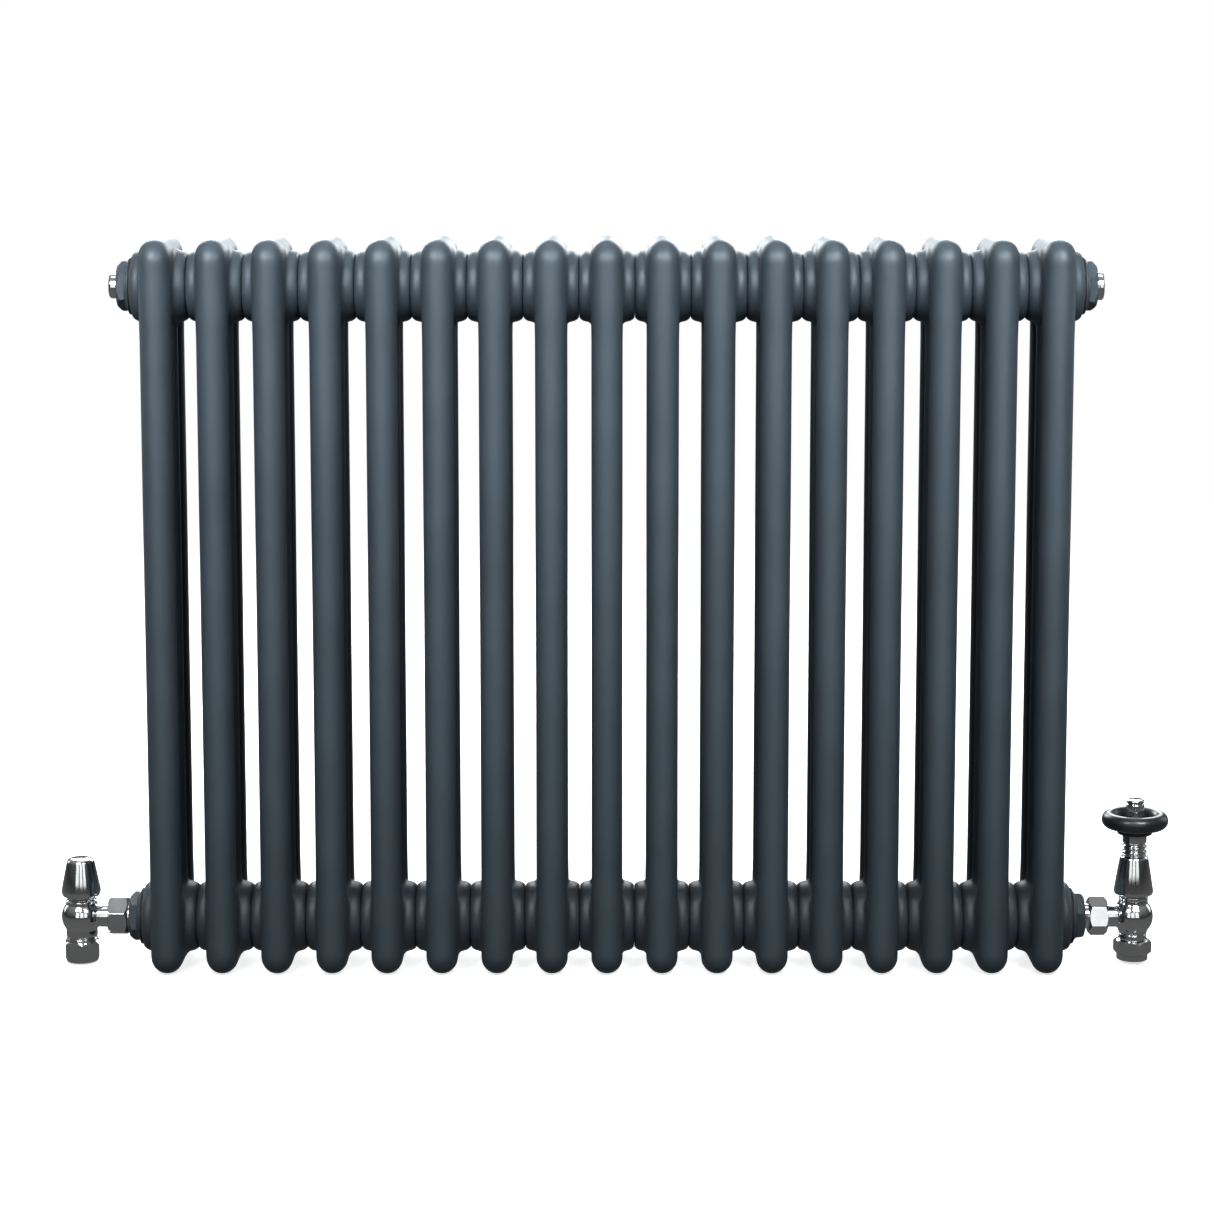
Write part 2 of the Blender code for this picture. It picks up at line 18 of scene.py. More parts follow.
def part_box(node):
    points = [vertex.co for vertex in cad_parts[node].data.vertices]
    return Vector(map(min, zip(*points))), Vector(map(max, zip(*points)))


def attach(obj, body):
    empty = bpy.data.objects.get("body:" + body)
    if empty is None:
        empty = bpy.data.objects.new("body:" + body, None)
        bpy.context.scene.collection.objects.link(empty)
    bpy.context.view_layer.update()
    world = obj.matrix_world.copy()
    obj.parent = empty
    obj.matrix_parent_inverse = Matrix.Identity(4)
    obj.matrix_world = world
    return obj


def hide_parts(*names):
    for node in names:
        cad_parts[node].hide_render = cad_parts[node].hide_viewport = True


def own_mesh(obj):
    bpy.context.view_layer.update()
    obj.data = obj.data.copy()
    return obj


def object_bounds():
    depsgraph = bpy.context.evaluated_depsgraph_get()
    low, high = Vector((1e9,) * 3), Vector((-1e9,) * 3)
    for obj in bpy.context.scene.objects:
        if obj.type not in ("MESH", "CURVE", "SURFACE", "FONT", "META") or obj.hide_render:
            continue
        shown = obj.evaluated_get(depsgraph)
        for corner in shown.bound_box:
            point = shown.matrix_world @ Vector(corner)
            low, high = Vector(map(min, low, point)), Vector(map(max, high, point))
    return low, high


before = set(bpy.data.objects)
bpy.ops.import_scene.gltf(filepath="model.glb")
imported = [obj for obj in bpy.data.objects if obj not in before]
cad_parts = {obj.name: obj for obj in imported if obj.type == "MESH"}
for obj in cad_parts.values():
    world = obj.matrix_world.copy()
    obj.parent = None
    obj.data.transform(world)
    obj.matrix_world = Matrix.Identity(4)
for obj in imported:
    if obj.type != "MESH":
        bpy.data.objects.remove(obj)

cad_box = [list(corner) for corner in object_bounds()]
scene = bpy.context.scene

# %% [markdown]
# Every place comes from the model, so that nothing has to be fitted by eye. A box of one node gives
# the axis of each valve and the face that each corner fitting sits on. Lengths below are written in
# millimetres, because that is how such a radiator is drawn, and `MM` turns them into metres.

# %% Places read from the model
MM = 0.001


def middle(node):
    low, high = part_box(node)
    return (Vector(low) + Vector(high)) / 2 / MM


SECTION_COUNT = 17
SECTION_GAP = 0.3  # the model keeps its sections this far apart
first, last = middle("section_01").x, middle("section_17").x
PITCH = (last - first) / (SECTION_COUNT - 1)
HEIGHT = cad_box[1][2] / MM
LOW_PORT = middle("bush_bottom_left").z
HIGH_PORT = middle("bush_top_left").z
CORE_END = last + (PITCH - SECTION_GAP) / 2
LOCKSHIELD_X = middle("lockshield_cap").x
THERMOSTAT_X = middle("thermostat_barrel").x
print("pitch", round(PITCH, 3), "height", round(HEIGHT, 2))
print("ports at", round(LOW_PORT, 2), "and", round(HIGH_PORT, 2))

# %% [markdown]
# The camera looks along +Y from a little above the top of the radiator, with a long lens, so that the
# tubes stay nearly upright. A small downward shift keeps them more upright than tilting alone would,
# and it is small enough for the other views to keep the whole radiator in frame.

# %% Camera
CAMERA_DISTANCE = 2.4449
CAMERA_HEIGHT = 0.71
CAMERA_TILT = 7.26  # degrees below level

camera_data = bpy.data.cameras.new("studio_camera")
camera_data.lens = 89.74
camera_data.sensor_width = 36.0
camera_data.shift_y = -0.1
camera_data.clip_end = 60.0
camera = bpy.data.objects.new("studio_camera", camera_data)
camera.location = (0.0, -CAMERA_DISTANCE, CAMERA_HEIGHT)
camera.rotation_euler = (math.radians(90.0 - CAMERA_TILT), 0.0, 0.0)
scene.collection.objects.link(camera)
scene.camera = camera
print("lens", round(camera_data.lens, 1), "mm, shift", round(camera_data.shift_y, 2))

# %% [markdown]
# Every light is a soft box, a rectangle that shines from one side, so one helper makes them all. A real
# soft box may carry a grid that narrows its beam: here that is `spread`, in degrees. A panel that is
# `sheen_only` is left out of the diffuse light and is seen only in shine and in mirrors.

# %% A soft box
DAYLIGHT = (0.95, 0.98, 1.0)
SKY_LIGHT = (0.80, 0.93, 1.0)


def soft_box(name, place, aim, size, power, spread=180.0, sheen_only=False, colour=DAYLIGHT):
    """An area light at a place, turned to its aim: size in metres, power in watts."""
    data = bpy.data.lights.new(name, "AREA")
    data.shape = "RECTANGLE"
    data.size, data.size_y = size
    data.energy = power
    data.spread = math.radians(spread)
    data.color = colour
    light = bpy.data.objects.new(name, data)
    light.location = place
    light.rotation_euler = (Vector(aim) - Vector(place)).to_track_quat("-Z", "Y").to_euler()
    light.visible_camera = False
    light.visible_diffuse = not sheen_only
    scene.collection.objects.link(light)
    return light


print("soft box helper ready")

# %% [markdown]
# Two gridded boxes stand high in front and aim above the radiator. Their beams are narrow, so the light
# is strongest at the top and falls off towards the foot. Two plain boxes behind and one overhead fill in
# the rest. Six panels serve only the shine: three in front at eye level put bright bars with a dark line
# between them into the chrome, two at the sides do the same from behind, and one high behind lays a pale
# sheen on the crowns of the heads.

# %% Lights
PANEL_SIZE, PANEL_POWER = (0.85, 1.3), 4.6
for side, label in ((-1, "left"), (1, "right")):
    soft_box(
        f"soft_box_{label}", (side * 0.75, -1.20, 1.40), (side * 0.50, 0.0, 0.90), (0.9, 0.6), 13.0,
        spread=76.0,
    )
    soft_box(f"back_box_{label}", (side * 0.7, 2.2, 1.3), (side * 0.2, 0.0, 0.4), (0.9, 1.0), 30.0)
    soft_box(
        f"back_side_panel_{label}", (side * 2.2, 1.2, 0.8), (side * 0.5, 0.0, 0.3), (0.9, 1.3), 5.0,
        sheen_only=True,
    )
    soft_box(
        f"side_panel_{label}", (side * 1.10, -2.4, 0.75), (side * 0.5, 0.0, 0.4), PANEL_SIZE, PANEL_POWER,
        sheen_only=True,
    )
soft_box("centre_panel", (0.0, -2.5, 0.75), (0.0, 0.0, 0.4), PANEL_SIZE, PANEL_POWER, sheen_only=True)
soft_box(
    "back_panel", (0.0, 2.4, 1.7), (0.0, 0.0, 1.2), (3.6, 1.2), 7.0,
    spread=60.0, sheen_only=True, colour=SKY_LIGHT,
)
soft_box("top_box", (0.0, 0.3, 2.2), (0.0, 0.0, 0.6), (1.8, 0.8), 8.0)

# %% [markdown]
# The camera sees a plain white room. Everything else sees a dim one, darkest at eye level and lighter
# above and below, because chrome looks like chrome only when it has something dark to mirror. A ramp
# over the height of each ray's direction gives those greys, from straight down to straight up.

# %% Room
ROOM_GREYS = ((0.0, 0.14), (0.40, 0.12), (0.50, 0.035), (0.60, 0.09), (1.0, 0.36))
world = bpy.data.worlds.new("studio")
world.use_nodes = True
scene.world = world
tree = world.node_tree
tree.nodes.clear()
seen = tree.nodes.new("ShaderNodeBackground")
seen.inputs["Color"].default_value = (1.0, 1.0, 1.0, 1.0)
room = tree.nodes.new("ShaderNodeBackground")
direction = tree.nodes.new("ShaderNodeTexCoord")
split = tree.nodes.new("ShaderNodeSeparateXYZ")
lift = tree.nodes.new("ShaderNodeMapRange")
lift.inputs["From Min"].default_value = -1.0
shade = tree.nodes.new("ShaderNodeValToRGB")
greys = shade.color_ramp.elements
for position, _ in ROOM_GREYS[1:-1]:
    greys.new(position)
for element, (position, grey) in zip(greys, ROOM_GREYS):
    element.position = position
    element.color = (grey, grey, grey, 1.0)
ray = tree.nodes.new("ShaderNodeLightPath")
mix = tree.nodes.new("ShaderNodeMixShader")
out = tree.nodes.new("ShaderNodeOutputWorld")
tree.links.new(direction.outputs["Generated"], split.inputs[0])
tree.links.new(split.outputs["Z"], lift.inputs["Value"])
tree.links.new(lift.outputs["Result"], shade.inputs["Fac"])
tree.links.new(shade.outputs["Color"], room.inputs["Color"])
tree.links.new(ray.outputs["Is Camera Ray"], mix.inputs[0])
tree.links.new(room.outputs[0], mix.inputs[1])
tree.links.new(seen.outputs[0], mix.inputs[2])
tree.links.new(mix.outputs[0], out.inputs["Surface"])
scene.view_settings.view_transform = "Standard"
print("room greys", ROOM_GREYS)

# %% [markdown]
# A finish is a Principled shader with its detail driven by noise in object coordinates, which are
# metres here. `Scale` is therefore in cycles per metre: 400 gives marks of about 2.5 mm. One helper
# builds the noise, and a ramp or a range node turns it into colour, gloss or relief. Noise stays close
# to its middle, so both read only that part of it.

# %% Node helpers
NOISE_LOW, NOISE_HIGH = 0.3, 0.7


class Finish:
    """A Principled material with small helpers for procedural detail."""

    def __init__(self, name, metallic=0.0):
        self.material = bpy.data.materials.new(name)
        self.material.use_nodes = True
        self.tree = self.material.node_tree
        self.shader = self.tree.nodes["Principled BSDF"]
        self.shader.inputs["Metallic"].default_value = metallic
        self.place = self.tree.nodes.new("ShaderNodeTexCoord")

    def noise(self, scale, detail=2.0, stretch=None):
        node = self.tree.nodes.new("ShaderNodeTexNoise")
        node.inputs["Scale"].default_value = scale
        node.inputs["Detail"].default_value = detail
        source = self.place.outputs["Object"]
        if stretch:
            mapping = self.tree.nodes.new("ShaderNodeMapping")
            mapping.inputs["Scale"].default_value = stretch
            self.tree.links.new(source, mapping.inputs["Vector"])
            source = mapping.outputs["Vector"]
        self.tree.links.new(source, node.inputs["Vector"])
        return node.outputs["Fac"]

    def colour(self, factor, low, high):
        node = self.tree.nodes.new("ShaderNodeValToRGB")
        ends = node.color_ramp.elements
        ends[0].position, ends[1].position = NOISE_LOW, NOISE_HIGH
        ends[0].color, ends[1].color = (*low, 1.0), (*high, 1.0)
        self.tree.links.new(factor, node.inputs["Fac"])
        self.tree.links.new(node.outputs["Color"], self.shader.inputs["Base Color"])

    def gloss(self, factor, low, high):
        node = self.tree.nodes.new("ShaderNodeMapRange")
        node.inputs["From Min"].default_value = NOISE_LOW
        node.inputs["From Max"].default_value = NOISE_HIGH
        node.inputs["To Min"].default_value = low
        node.inputs["To Max"].default_value = high
        self.tree.links.new(factor, node.inputs["Value"])
        self.tree.links.new(node.outputs["Result"], self.shader.inputs["Roughness"])

    def relief(self, layers):
        """Bumps chained one after another: each layer is a factor, a strength and a height in metres."""
        normal = None
        for factor, strength, height in layers:
            bump = self.tree.nodes.new("ShaderNodeBump")
            bump.inputs["Strength"].default_value = strength
            bump.inputs["Distance"].default_value = height
            self.tree.links.new(factor, bump.inputs["Height"])
            if normal:
                self.tree.links.new(normal, bump.inputs["Normal"])
            normal = bump.outputs["Normal"]
        self.tree.links.new(normal, self.shader.inputs["Normal"])


print("finish helper ready")

# %% [markdown]
# The sections are powder coated: a baked skin with a satin sheen and a faint orange peel, about 2 mm
# from crest to crest, with a much finer grain on top. The pigment is a dark blue-grey that varies very
# slightly over a tube's length. A cool specular tint gives the sheen the blue of the coat.

# %% Powder coat
paint = Finish("anthracite_powder_coat")
paint.shader.inputs["Specular IOR Level"].default_value = 0.6
paint.shader.inputs["Specular Tint"].default_value = (0.80, 0.92, 1.0, 1.0)
paint.colour(paint.noise(14.0, 3.0), (0.024, 0.033, 0.042), (0.030, 0.041, 0.052))
paint.gloss(paint.noise(55.0, 4.0), 0.47, 0.54)
paint.relief([(paint.noise(430.0, 2.0), 0.10, 0.0006), (paint.noise(2100.0, 2.0), 0.08, 0.0002)])
print(paint.material.name, len(paint.tree.nodes), "nodes")

# %% [markdown]
# The valves are polished brass under bright chrome plate. The plate is a mirror, slightly cloudy where
# fingers and polishing cloths have been, with hair-fine marks that run round the axis of each piece.

# %% Chrome
chrome = Finish("polished_chrome", metallic=1.0)
chrome.colour(chrome.noise(60.0, 3.0), (0.66, 0.665, 0.67), (0.73, 0.735, 0.74))
chrome.gloss(chrome.noise(90.0, 5.0), 0.07, 0.13)
chrome.relief([
    (chrome.noise(40.0, 1.0), 0.012, 0.0006),
    (chrome.noise(700.0, 2.0, stretch=(1.0, 1.0, 6.0)), 0.02, 0.00005),
])
print(chrome.material.name, len(chrome.tree.nodes), "nodes")

# %% [markdown]
# Four smaller finishes remain. The wheel is a satin black moulding. The olives, the spindle and the
# vent's screw are bare brass with turning marks, the spring and sensor are bare steel, and the gaskets
# and the valve disc are black rubber with a dusty, matt bloom.

# %% Wheel, brass, steel and rubber
black = Finish("black_moulding")
black.colour(black.noise(40.0, 3.0), (0.010, 0.010, 0.011), (0.016, 0.016, 0.017))
black.gloss(black.noise(120.0, 4.0), 0.26, 0.36)
black.relief([(black.noise(900.0, 3.0), 0.06, 0.0003)])

brass = Finish("bare_brass", metallic=1.0)
brass.colour(brass.noise(90.0, 4.0), (0.52, 0.36, 0.15), (0.70, 0.50, 0.22))
brass.gloss(brass.noise(200.0, 4.0), 0.22, 0.38)
brass.relief([(brass.noise(1500.0, 2.0, stretch=(0.3, 0.3, 3.0)), 0.10, 0.0002)])

steel = Finish("bare_steel", metallic=1.0)
steel.colour(steel.noise(120.0, 4.0), (0.42, 0.42, 0.43), (0.54, 0.54, 0.55))
steel.gloss(steel.noise(260.0, 4.0), 0.22, 0.36)
steel.relief([(steel.noise(1800.0, 2.0, stretch=(0.3, 0.3, 3.0)), 0.08, 0.0002)])

rubber = Finish("black_rubber")
rubber.colour(rubber.noise(160.0, 4.0), (0.011, 0.011, 0.011), (0.022, 0.022, 0.021))
rubber.gloss(rubber.noise(300.0, 3.0), 0.70, 0.88)
rubber.relief([(rubber.noise(1300.0, 3.0), 0.15, 0.0003)])

SLOTS = {
    "paint": paint, "chrome": chrome, "brass": brass, "steel": steel, "black": black, "rubber": rubber,
}
print("finishes", sorted(SLOTS))

# %% [markdown]
# A piece is one closed mesh, or a few closed shells that sink into each other, built where it belongs.

# %% Placing a piece
SMOOTH_ANGLE = math.radians(35.0)
WELD = 1e-6  # points closer than this, in metres, are one point


def smooth(mesh, angle=SMOOTH_ANGLE):
    mesh.shade_smooth()
    mesh.set_sharp_from_angle(angle=angle)


def add_object(name, mesh):
    obj = bpy.data.objects.new(name, mesh)
    scene.collection.objects.link(obj)
    return obj


def mesh_object(name, bm):
    """Turns a bmesh into an object, welded, with its faces outward and its shading smooth."""
    bmesh.ops.remove_doubles(bm, verts=bm.verts, dist=WELD)
    bmesh.ops.recalc_face_normals(bm, faces=bm.faces)
    mesh = bpy.data.meshes.new(name)
    bm.to_mesh(mesh)
    bm.free()
    smooth(mesh)
    return add_object(name, mesh)


def place_piece(obj, body, slot, *nodes):
    obj.data.materials.clear()
    obj.data.materials.append(SLOTS[slot].material)
    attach(obj, body)
    if nodes:
        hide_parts(*nodes)
    print(f"{obj.name}: {sum(len(p.vertices) - 2 for p in obj.data.polygons)} triangles on {body}")
    return obj


print("placing helpers ready")

# %% [markdown]
# A section is pressed and welded steel: two heads joined by three tubes, with a short hub on each flank
# of both heads. It has no sharp corner anywhere, and arches run from one tube to the next, so a skin
# around a distance rule suits it better than joined cylinders.
#
# The rule starts from a flat sheet in the Y-Z plane: the three tube axes, and in each head a plate with
# two tall arches cut from its edge. `sheet_distance` says how far a point is from that sheet, in
# millimetres from the middle of the section. All four quarters are alike, so it only needs to know one.

# %% The sheet inside a section
COLUMN_SPACING = 37.5
HEAD_RADIUS = 12.8
HALF_HEIGHT = HEIGHT / 2
ARCH_FOOT = HALF_HEIGHT - 83.0
ARCH_HEIGHT = 33.5
CROWN_ROUNDING = 5.0
ARCH_POINTS = 241

sweep = np.linspace(0.0, math.pi, ARCH_POINTS)
arch = np.stack([
    COLUMN_SPACING / 2 + COLUMN_SPACING / 2 * np.cos(sweep), ARCH_FOOT + ARCH_HEIGHT * np.sin(sweep)
], axis=1)


def sheet_distance(y, z):
    """Distance in the Y-Z plane to the sheet, for y and z that are not negative."""
    inset_y = COLUMN_SPACING - CROWN_ROUNDING
    inset_z = HALF_HEIGHT - HEAD_RADIUS - CROWN_ROUNDING
    outside = np.hypot(np.maximum(y - inset_y, 0.0), np.maximum(z - inset_z, 0.0)) - CROWN_ROUNDING
    distance = np.maximum(outside, 0.0)
    below = z <= ARCH_FOOT
    distance = np.where(below, np.minimum(np.abs(y), np.abs(y - COLUMN_SPACING)), distance)
    across = (y - COLUMN_SPACING / 2) / (COLUMN_SPACING / 2)
    under = ~below & (across**2 + ((z - ARCH_FOOT) / ARCH_HEIGHT) ** 2 < 1.0)
    if under.any():
        nearest = np.full(int(under.sum()), np.inf)
        for arch_y, arch_z in arch:
            nearest = np.minimum(nearest, (y[under] - arch_y) ** 2 + (z[under] - arch_z) ** 2)
        distance[under] = np.sqrt(nearest)
    return distance


print("arch points", len(arch), "feet", round(ARCH_FOOT, 2), "mm above the middle")

# %% [markdown]
# The rule inflates that sheet by the tube's radius, a little more in the heads than in the tubes. Then it
# adds the hubs: each is a slightly tapered drum round the waterway, with a chamfer at its rim, that ends
# just short of the next section. Where two shapes meet, the lesser distance is eased into a fillet.

# %% The rule for a section
TUBE_RADIUS = 12.5
HEAD_EASING = 25.0  # height over which a tube's radius grows to the head's
PORT_HEIGHT = HIGH_PORT - HALF_HEIGHT
HUB_FACE = PITCH / 2 - 0.1
HUB_DRUM = ((12.5, 29.6), (1.6, 7.1))  # a point on the cone, as X and radius, and its outward direction
HUB_CHAMFER = ((19.7, 28.0), (2.3, 2.65))
HUB_FILLET, HUB_EDGE = 3.2, 0.9


def smooth_least(a, b, width):
    """The lesser of two distances, with a fillet where they meet."""
    overlap = np.maximum(width - np.abs(a - b), 0.0) / width
    return np.minimum(a, b) - overlap * overlap * width / 4.0


def cone_distance(x, ring, cone):
    (at_x, at_ring), (way_x, way_ring) = cone
    return ((x - at_x) * way_x + (ring - at_ring) * way_ring) / math.hypot(way_x, way_ring)


def section_rule(x, y, z):
    """How far a point lies outside a section, in millimetres from its middle."""
    x, y, z = np.abs(x), np.abs(y), np.abs(z)
    rise = np.clip((z - ARCH_FOOT) / HEAD_EASING, 0.0, 1.0)
    radius = TUBE_RADIUS + (HEAD_RADIUS - TUBE_RADIUS) * rise * rise * (3.0 - 2.0 * rise)
    core = np.hypot(x, sheet_distance(y, z)) - radius
    ring = np.hypot(y, z - PORT_HEIGHT)
    drum = np.maximum(cone_distance(x, ring, HUB_DRUM), x - HUB_FACE)
    hub = -smooth_least(-drum, -cone_distance(x, ring, HUB_CHAMFER), HUB_EDGE)
    return smooth_least(core, hub, HUB_FILLET)


middle_of_tube = section_rule(np.zeros(1), np.zeros(1), np.zeros(1))[0]
print("the rule at the middle of a tube", round(float(middle_of_tube), 2), "mm")

# %% [markdown]
# The skin is made with a surface net. Space is divided by planes in X, Y and Z, each cell that the
# surface passes through gets one point, and cells that share a cut edge are joined by a face. Each point
# is then slid along the rule's slope until it lies exactly on the surface.

# %% A skin around a rule
SETTLING_STEPS = 4
PROBE = 0.02  # millimetres either side of a point, to read the rule's slope
LONGEST_SLIDE = 0.8
LEAST_SLOPE = 0.2


def settle(verts, rule):
    """Slides points onto the surface where a rule is zero."""
    for _ in range(SETTLING_STEPS):
        slope = np.stack([
            (rule(*(verts + way * PROBE).T) - rule(*(verts - way * PROBE).T)) / (2 * PROBE)
            for way in np.eye(3)
        ], axis=1)
        size = np.maximum((slope**2).sum(axis=1), LEAST_SLOPE)
        slide = np.clip(rule(*verts.T) / size, -LONGEST_SLIDE, LONGEST_SLIDE)
        verts = verts - slope * slide[:, None]
    return verts


def skin(name, rule, xs, ys, zs):
    """A closed mesh where a rule is zero, with its detail set by the planes in X, Y and Z."""
    values = rule(*np.meshgrid(xs, ys, zs, indexing="ij"))
    inside = values < 0.0
    shape = tuple(n - 1 for n in inside.shape)
    total, count = np.zeros(shape + (3,)), np.zeros(shape)
    lines = (xs, ys, zs)
    crossings = []
    for axis in range(3):
        near = [slice(None)] * 3
        far = [slice(None)] * 3
        near[axis], far[axis] = slice(None, -1), slice(1, None)
        a, b = values[tuple(near)], values[tuple(far)]
        cut = inside[tuple(near)] != inside[tuple(far)]
        index = np.argwhere(cut)
        part = a[cut] / (a[cut] - b[cut])
        points = np.stack([lines[k][index[:, k]] for k in range(3)], axis=1)
        step = lines[axis][index[:, axis] + 1] - lines[axis][index[:, axis]]
        points[:, axis] += part * step
        others = [k for k in range(3) if k != axis]
        around = []
        for du, dv in ((-1, -1), (0, -1), (0, 0), (-1, 0)):
            cell = index.copy()
            cell[:, others[0]] += du
            cell[:, others[1]] += dv
            np.add.at(total, tuple(cell.T), points)
            np.add.at(count, tuple(cell.T), 1.0)
            around.append(cell)
        crossings.append(around)
    used = count > 0
    number = np.full(shape, -1)
    number[used] = np.arange(int(used.sum()))
    verts = settle(total[used] / count[used][:, None], rule)
    faces = [np.stack([number[tuple(c.T)] for c in around], axis=1) for around in crossings]
    bm = bmesh.new()
    made = [bm.verts.new(v * MM) for v in verts]
    for quad in np.concatenate(faces).tolist():
        bm.faces.new([made[i] for i in quad])
    return mesh_object(name, bm)


print("skin helper ready")

# %% [markdown]
# The planes are close together where the shape is busy and far apart along the tubes, which saves
# triangles: 2.2 mm in the heads, half of that at the hubs' rims, and 30 mm along the tubes.

# %% One section
def planes(start, end, step):
    return np.append(np.arange(round((end - start) / step)) * step + start, end)


side_planes = planes(12.0, 23.0, 1.1)
head_planes = planes(212.0, 301.1, 2.2)
xs = np.concatenate([-side_planes[::-1], planes(-9.6, 9.6, 2.4), side_planes])
ys = planes(-51.7, 51.7, 2.2)
zs = np.concatenate([-head_planes[::-1], planes(-180.0, 180.0, 30.0), head_planes])
section = skin("section_pattern", section_rule, xs, ys, zs)
print("one section", len(section.data.polygons), "faces", [round(v, 4) for v in section.dimensions])

# %% [markdown]
# What repeats is left to Geometry Nodes. Two helpers serve every tree here: one makes an empty tree with
# named inputs, and the other runs a tree on an object and keeps the result as plain geometry. An input is
# set by its identifier, because its name is only a label.

# %% Node tree helpers
def new_tree(name, inputs, output):
    tree = bpy.data.node_groups.new(name, "GeometryNodeTree")
    for title, kind in inputs.items():
        tree.interface.new_socket(title, in_out="INPUT", socket_type=f"NodeSocket{kind}")
    tree.interface.new_socket(output, in_out="OUTPUT", socket_type="NodeSocketGeometry")
    return tree


def run_tree(obj, tree, **values):
    """Runs a node tree on an object and returns the result as a plain mesh."""
    modifier = obj.modifiers.new(tree.name, "NODES")
    modifier.node_group = tree
    for item in tree.interface.items_tree:
        if item.item_type == "SOCKET" and item.in_out == "INPUT" and item.name in values:
            modifier[item.identifier] = values[item.name]
    graph = bpy.context.evaluated_depsgraph_get()
    mesh = bpy.data.meshes.new_from_object(obj.evaluated_get(graph))
    obj.modifiers.remove(modifier)
    return mesh


print("node tree helpers ready")

# %% [markdown]
# Seventeen sections stand side by side at one pitch, so their tree is a line of points, the section on
# each point, and then real geometry. It runs on three groups, because one mesh of all seventeen would be
# too heavy.

# %% A row of sections
def row_tree():
    tree = new_tree("row_of_sections", {
        "Section": "Geometry", "Count": "Int", "Start": "Vector", "Step": "Vector", "Finish": "Material",
    }, "Row")
    add, link = tree.nodes.new, tree.links.new
    given, result = add("NodeGroupInput"), add("NodeGroupOutput")
    line = add("GeometryNodeMeshLine")
    put = add("GeometryNodeInstanceOnPoints")
    real = add("GeometryNodeRealizeInstances")
    coat = add("GeometryNodeSetMaterial")
    link(given.outputs["Count"], line.inputs["Count"])
    link(given.outputs["Start"], line.inputs["Start Location"])
    link(given.outputs["Step"], line.inputs["Offset"])
    link(line.outputs["Mesh"], put.inputs["Points"])
    link(given.outputs["Section"], put.inputs["Instance"])
    link(put.outputs["Instances"], real.inputs["Geometry"])
    link(real.outputs["Geometry"], coat.inputs["Geometry"])
    link(given.outputs["Finish"], coat.inputs["Material"])
    link(coat.outputs["Geometry"], result.inputs["Row"])
    return tree


rows = row_tree()
start = 0
for label, size in (("left", 6), ("centre", 5), ("right", 6)):
    mesh = run_tree(
        section, rows, Count=size, Start=((first + start * PITCH) * MM, 0.0, HALF_HEIGHT * MM),
        Step=(PITCH * MM, 0.0, 0.0), Finish=paint.material,
    )
    mesh.name = f"sections_{label}"
    nodes = [f"section_{start + k + 1:02d}" for k in range(size)]
    place_piece(add_object(mesh.name, mesh), "radiator", "paint", *nodes)
    start += size
bpy.data.objects.remove(section)

# %% [markdown]
# The fittings are lathe and hexagon work. One lofting helper makes both: a shape is a stack of rings
# round an axis, and a ring's radius and height may change with the angle. A plain number gives a turned
# shape, and a hexagon outline gives a nut. The angles crowd together near a hexagon's corners, where the
# real bar has a small radius. An axis comes with the two directions that its angles are counted from.

# %% Lofting helper
SECTOR = (0.0, 1.0, 2.2, 4.0, 8.0, 15.0, 22.0, 30.0, 38.0, 45.0, 52.0, 56.0, 57.8, 59.0)
ANGLES = [math.radians(60.0 * k + t) for k in range(6) for t in SECTOR]
UP = (Vector((0, 0, 1)), Vector((1, 0, 0)), Vector((0, 1, 0)))
LEFT = (Vector((-1, 0, 0)), Vector((0, -1, 0)), Vector((0, 0, 1)))
RIGHT = (Vector((1, 0, 0)), Vector((0, -1, 0)), Vector((0, 0, -1)))


def round_ring(value):
    """A value at each angle: a plain number is the same all round."""
    return value if isinstance(value, list) else [value] * len(ANGLES)


def loft(bm, axes, centre, rings, closed=False, twist=0.0):
    """Adds a stack of rings, each a radius and a height. Radius 0 makes a pole; closed joins the ends."""
    along, u, v = axes
    loops = []
    for radius, height in rings:
        if radius == 0.0:
            loops.append([bm.verts.new((centre + along * height) * MM)])
            continue
        loop = []
        for angle, r, h in zip(ANGLES, round_ring(radius), round_ring(height)):
            turn = angle + twist
            place = centre + along * h + u * (r * math.cos(turn)) + v * (r * math.sin(turn))
            loop.append(bm.verts.new(place * MM))
        loops.append(loop)
    pairs = list(zip(loops, loops[1:])) + ([(loops[-1], loops[0])] if closed else [])
    for a, b in pairs:
        for i in range(len(ANGLES)):
            j = (i + 1) % len(ANGLES)
            if len(a) == 1:
                bm.faces.new((a[0], b[i], b[j]))
            elif len(b) == 1:
                bm.faces.new((a[i], b[0], a[j]))
            else:
                bm.faces.new((a[i], b[i], b[j], a[j]))


print("ring points", len(ANGLES))

# %% [markdown]
# No turned part leaves the lathe with a knife edge: each corner is broken with a file or rounded by
# polishing. So a profile is written with plain corners, as on a drawing, and `eased` swaps each corner
# for a short curve, a parabola whose ends lie on the two sides.

# %% Eased corners
NEARLY_STRAIGHT = math.radians(165.0)
LONGEST_CUT = 0.45  # of the shorter side, so that two corners never meet


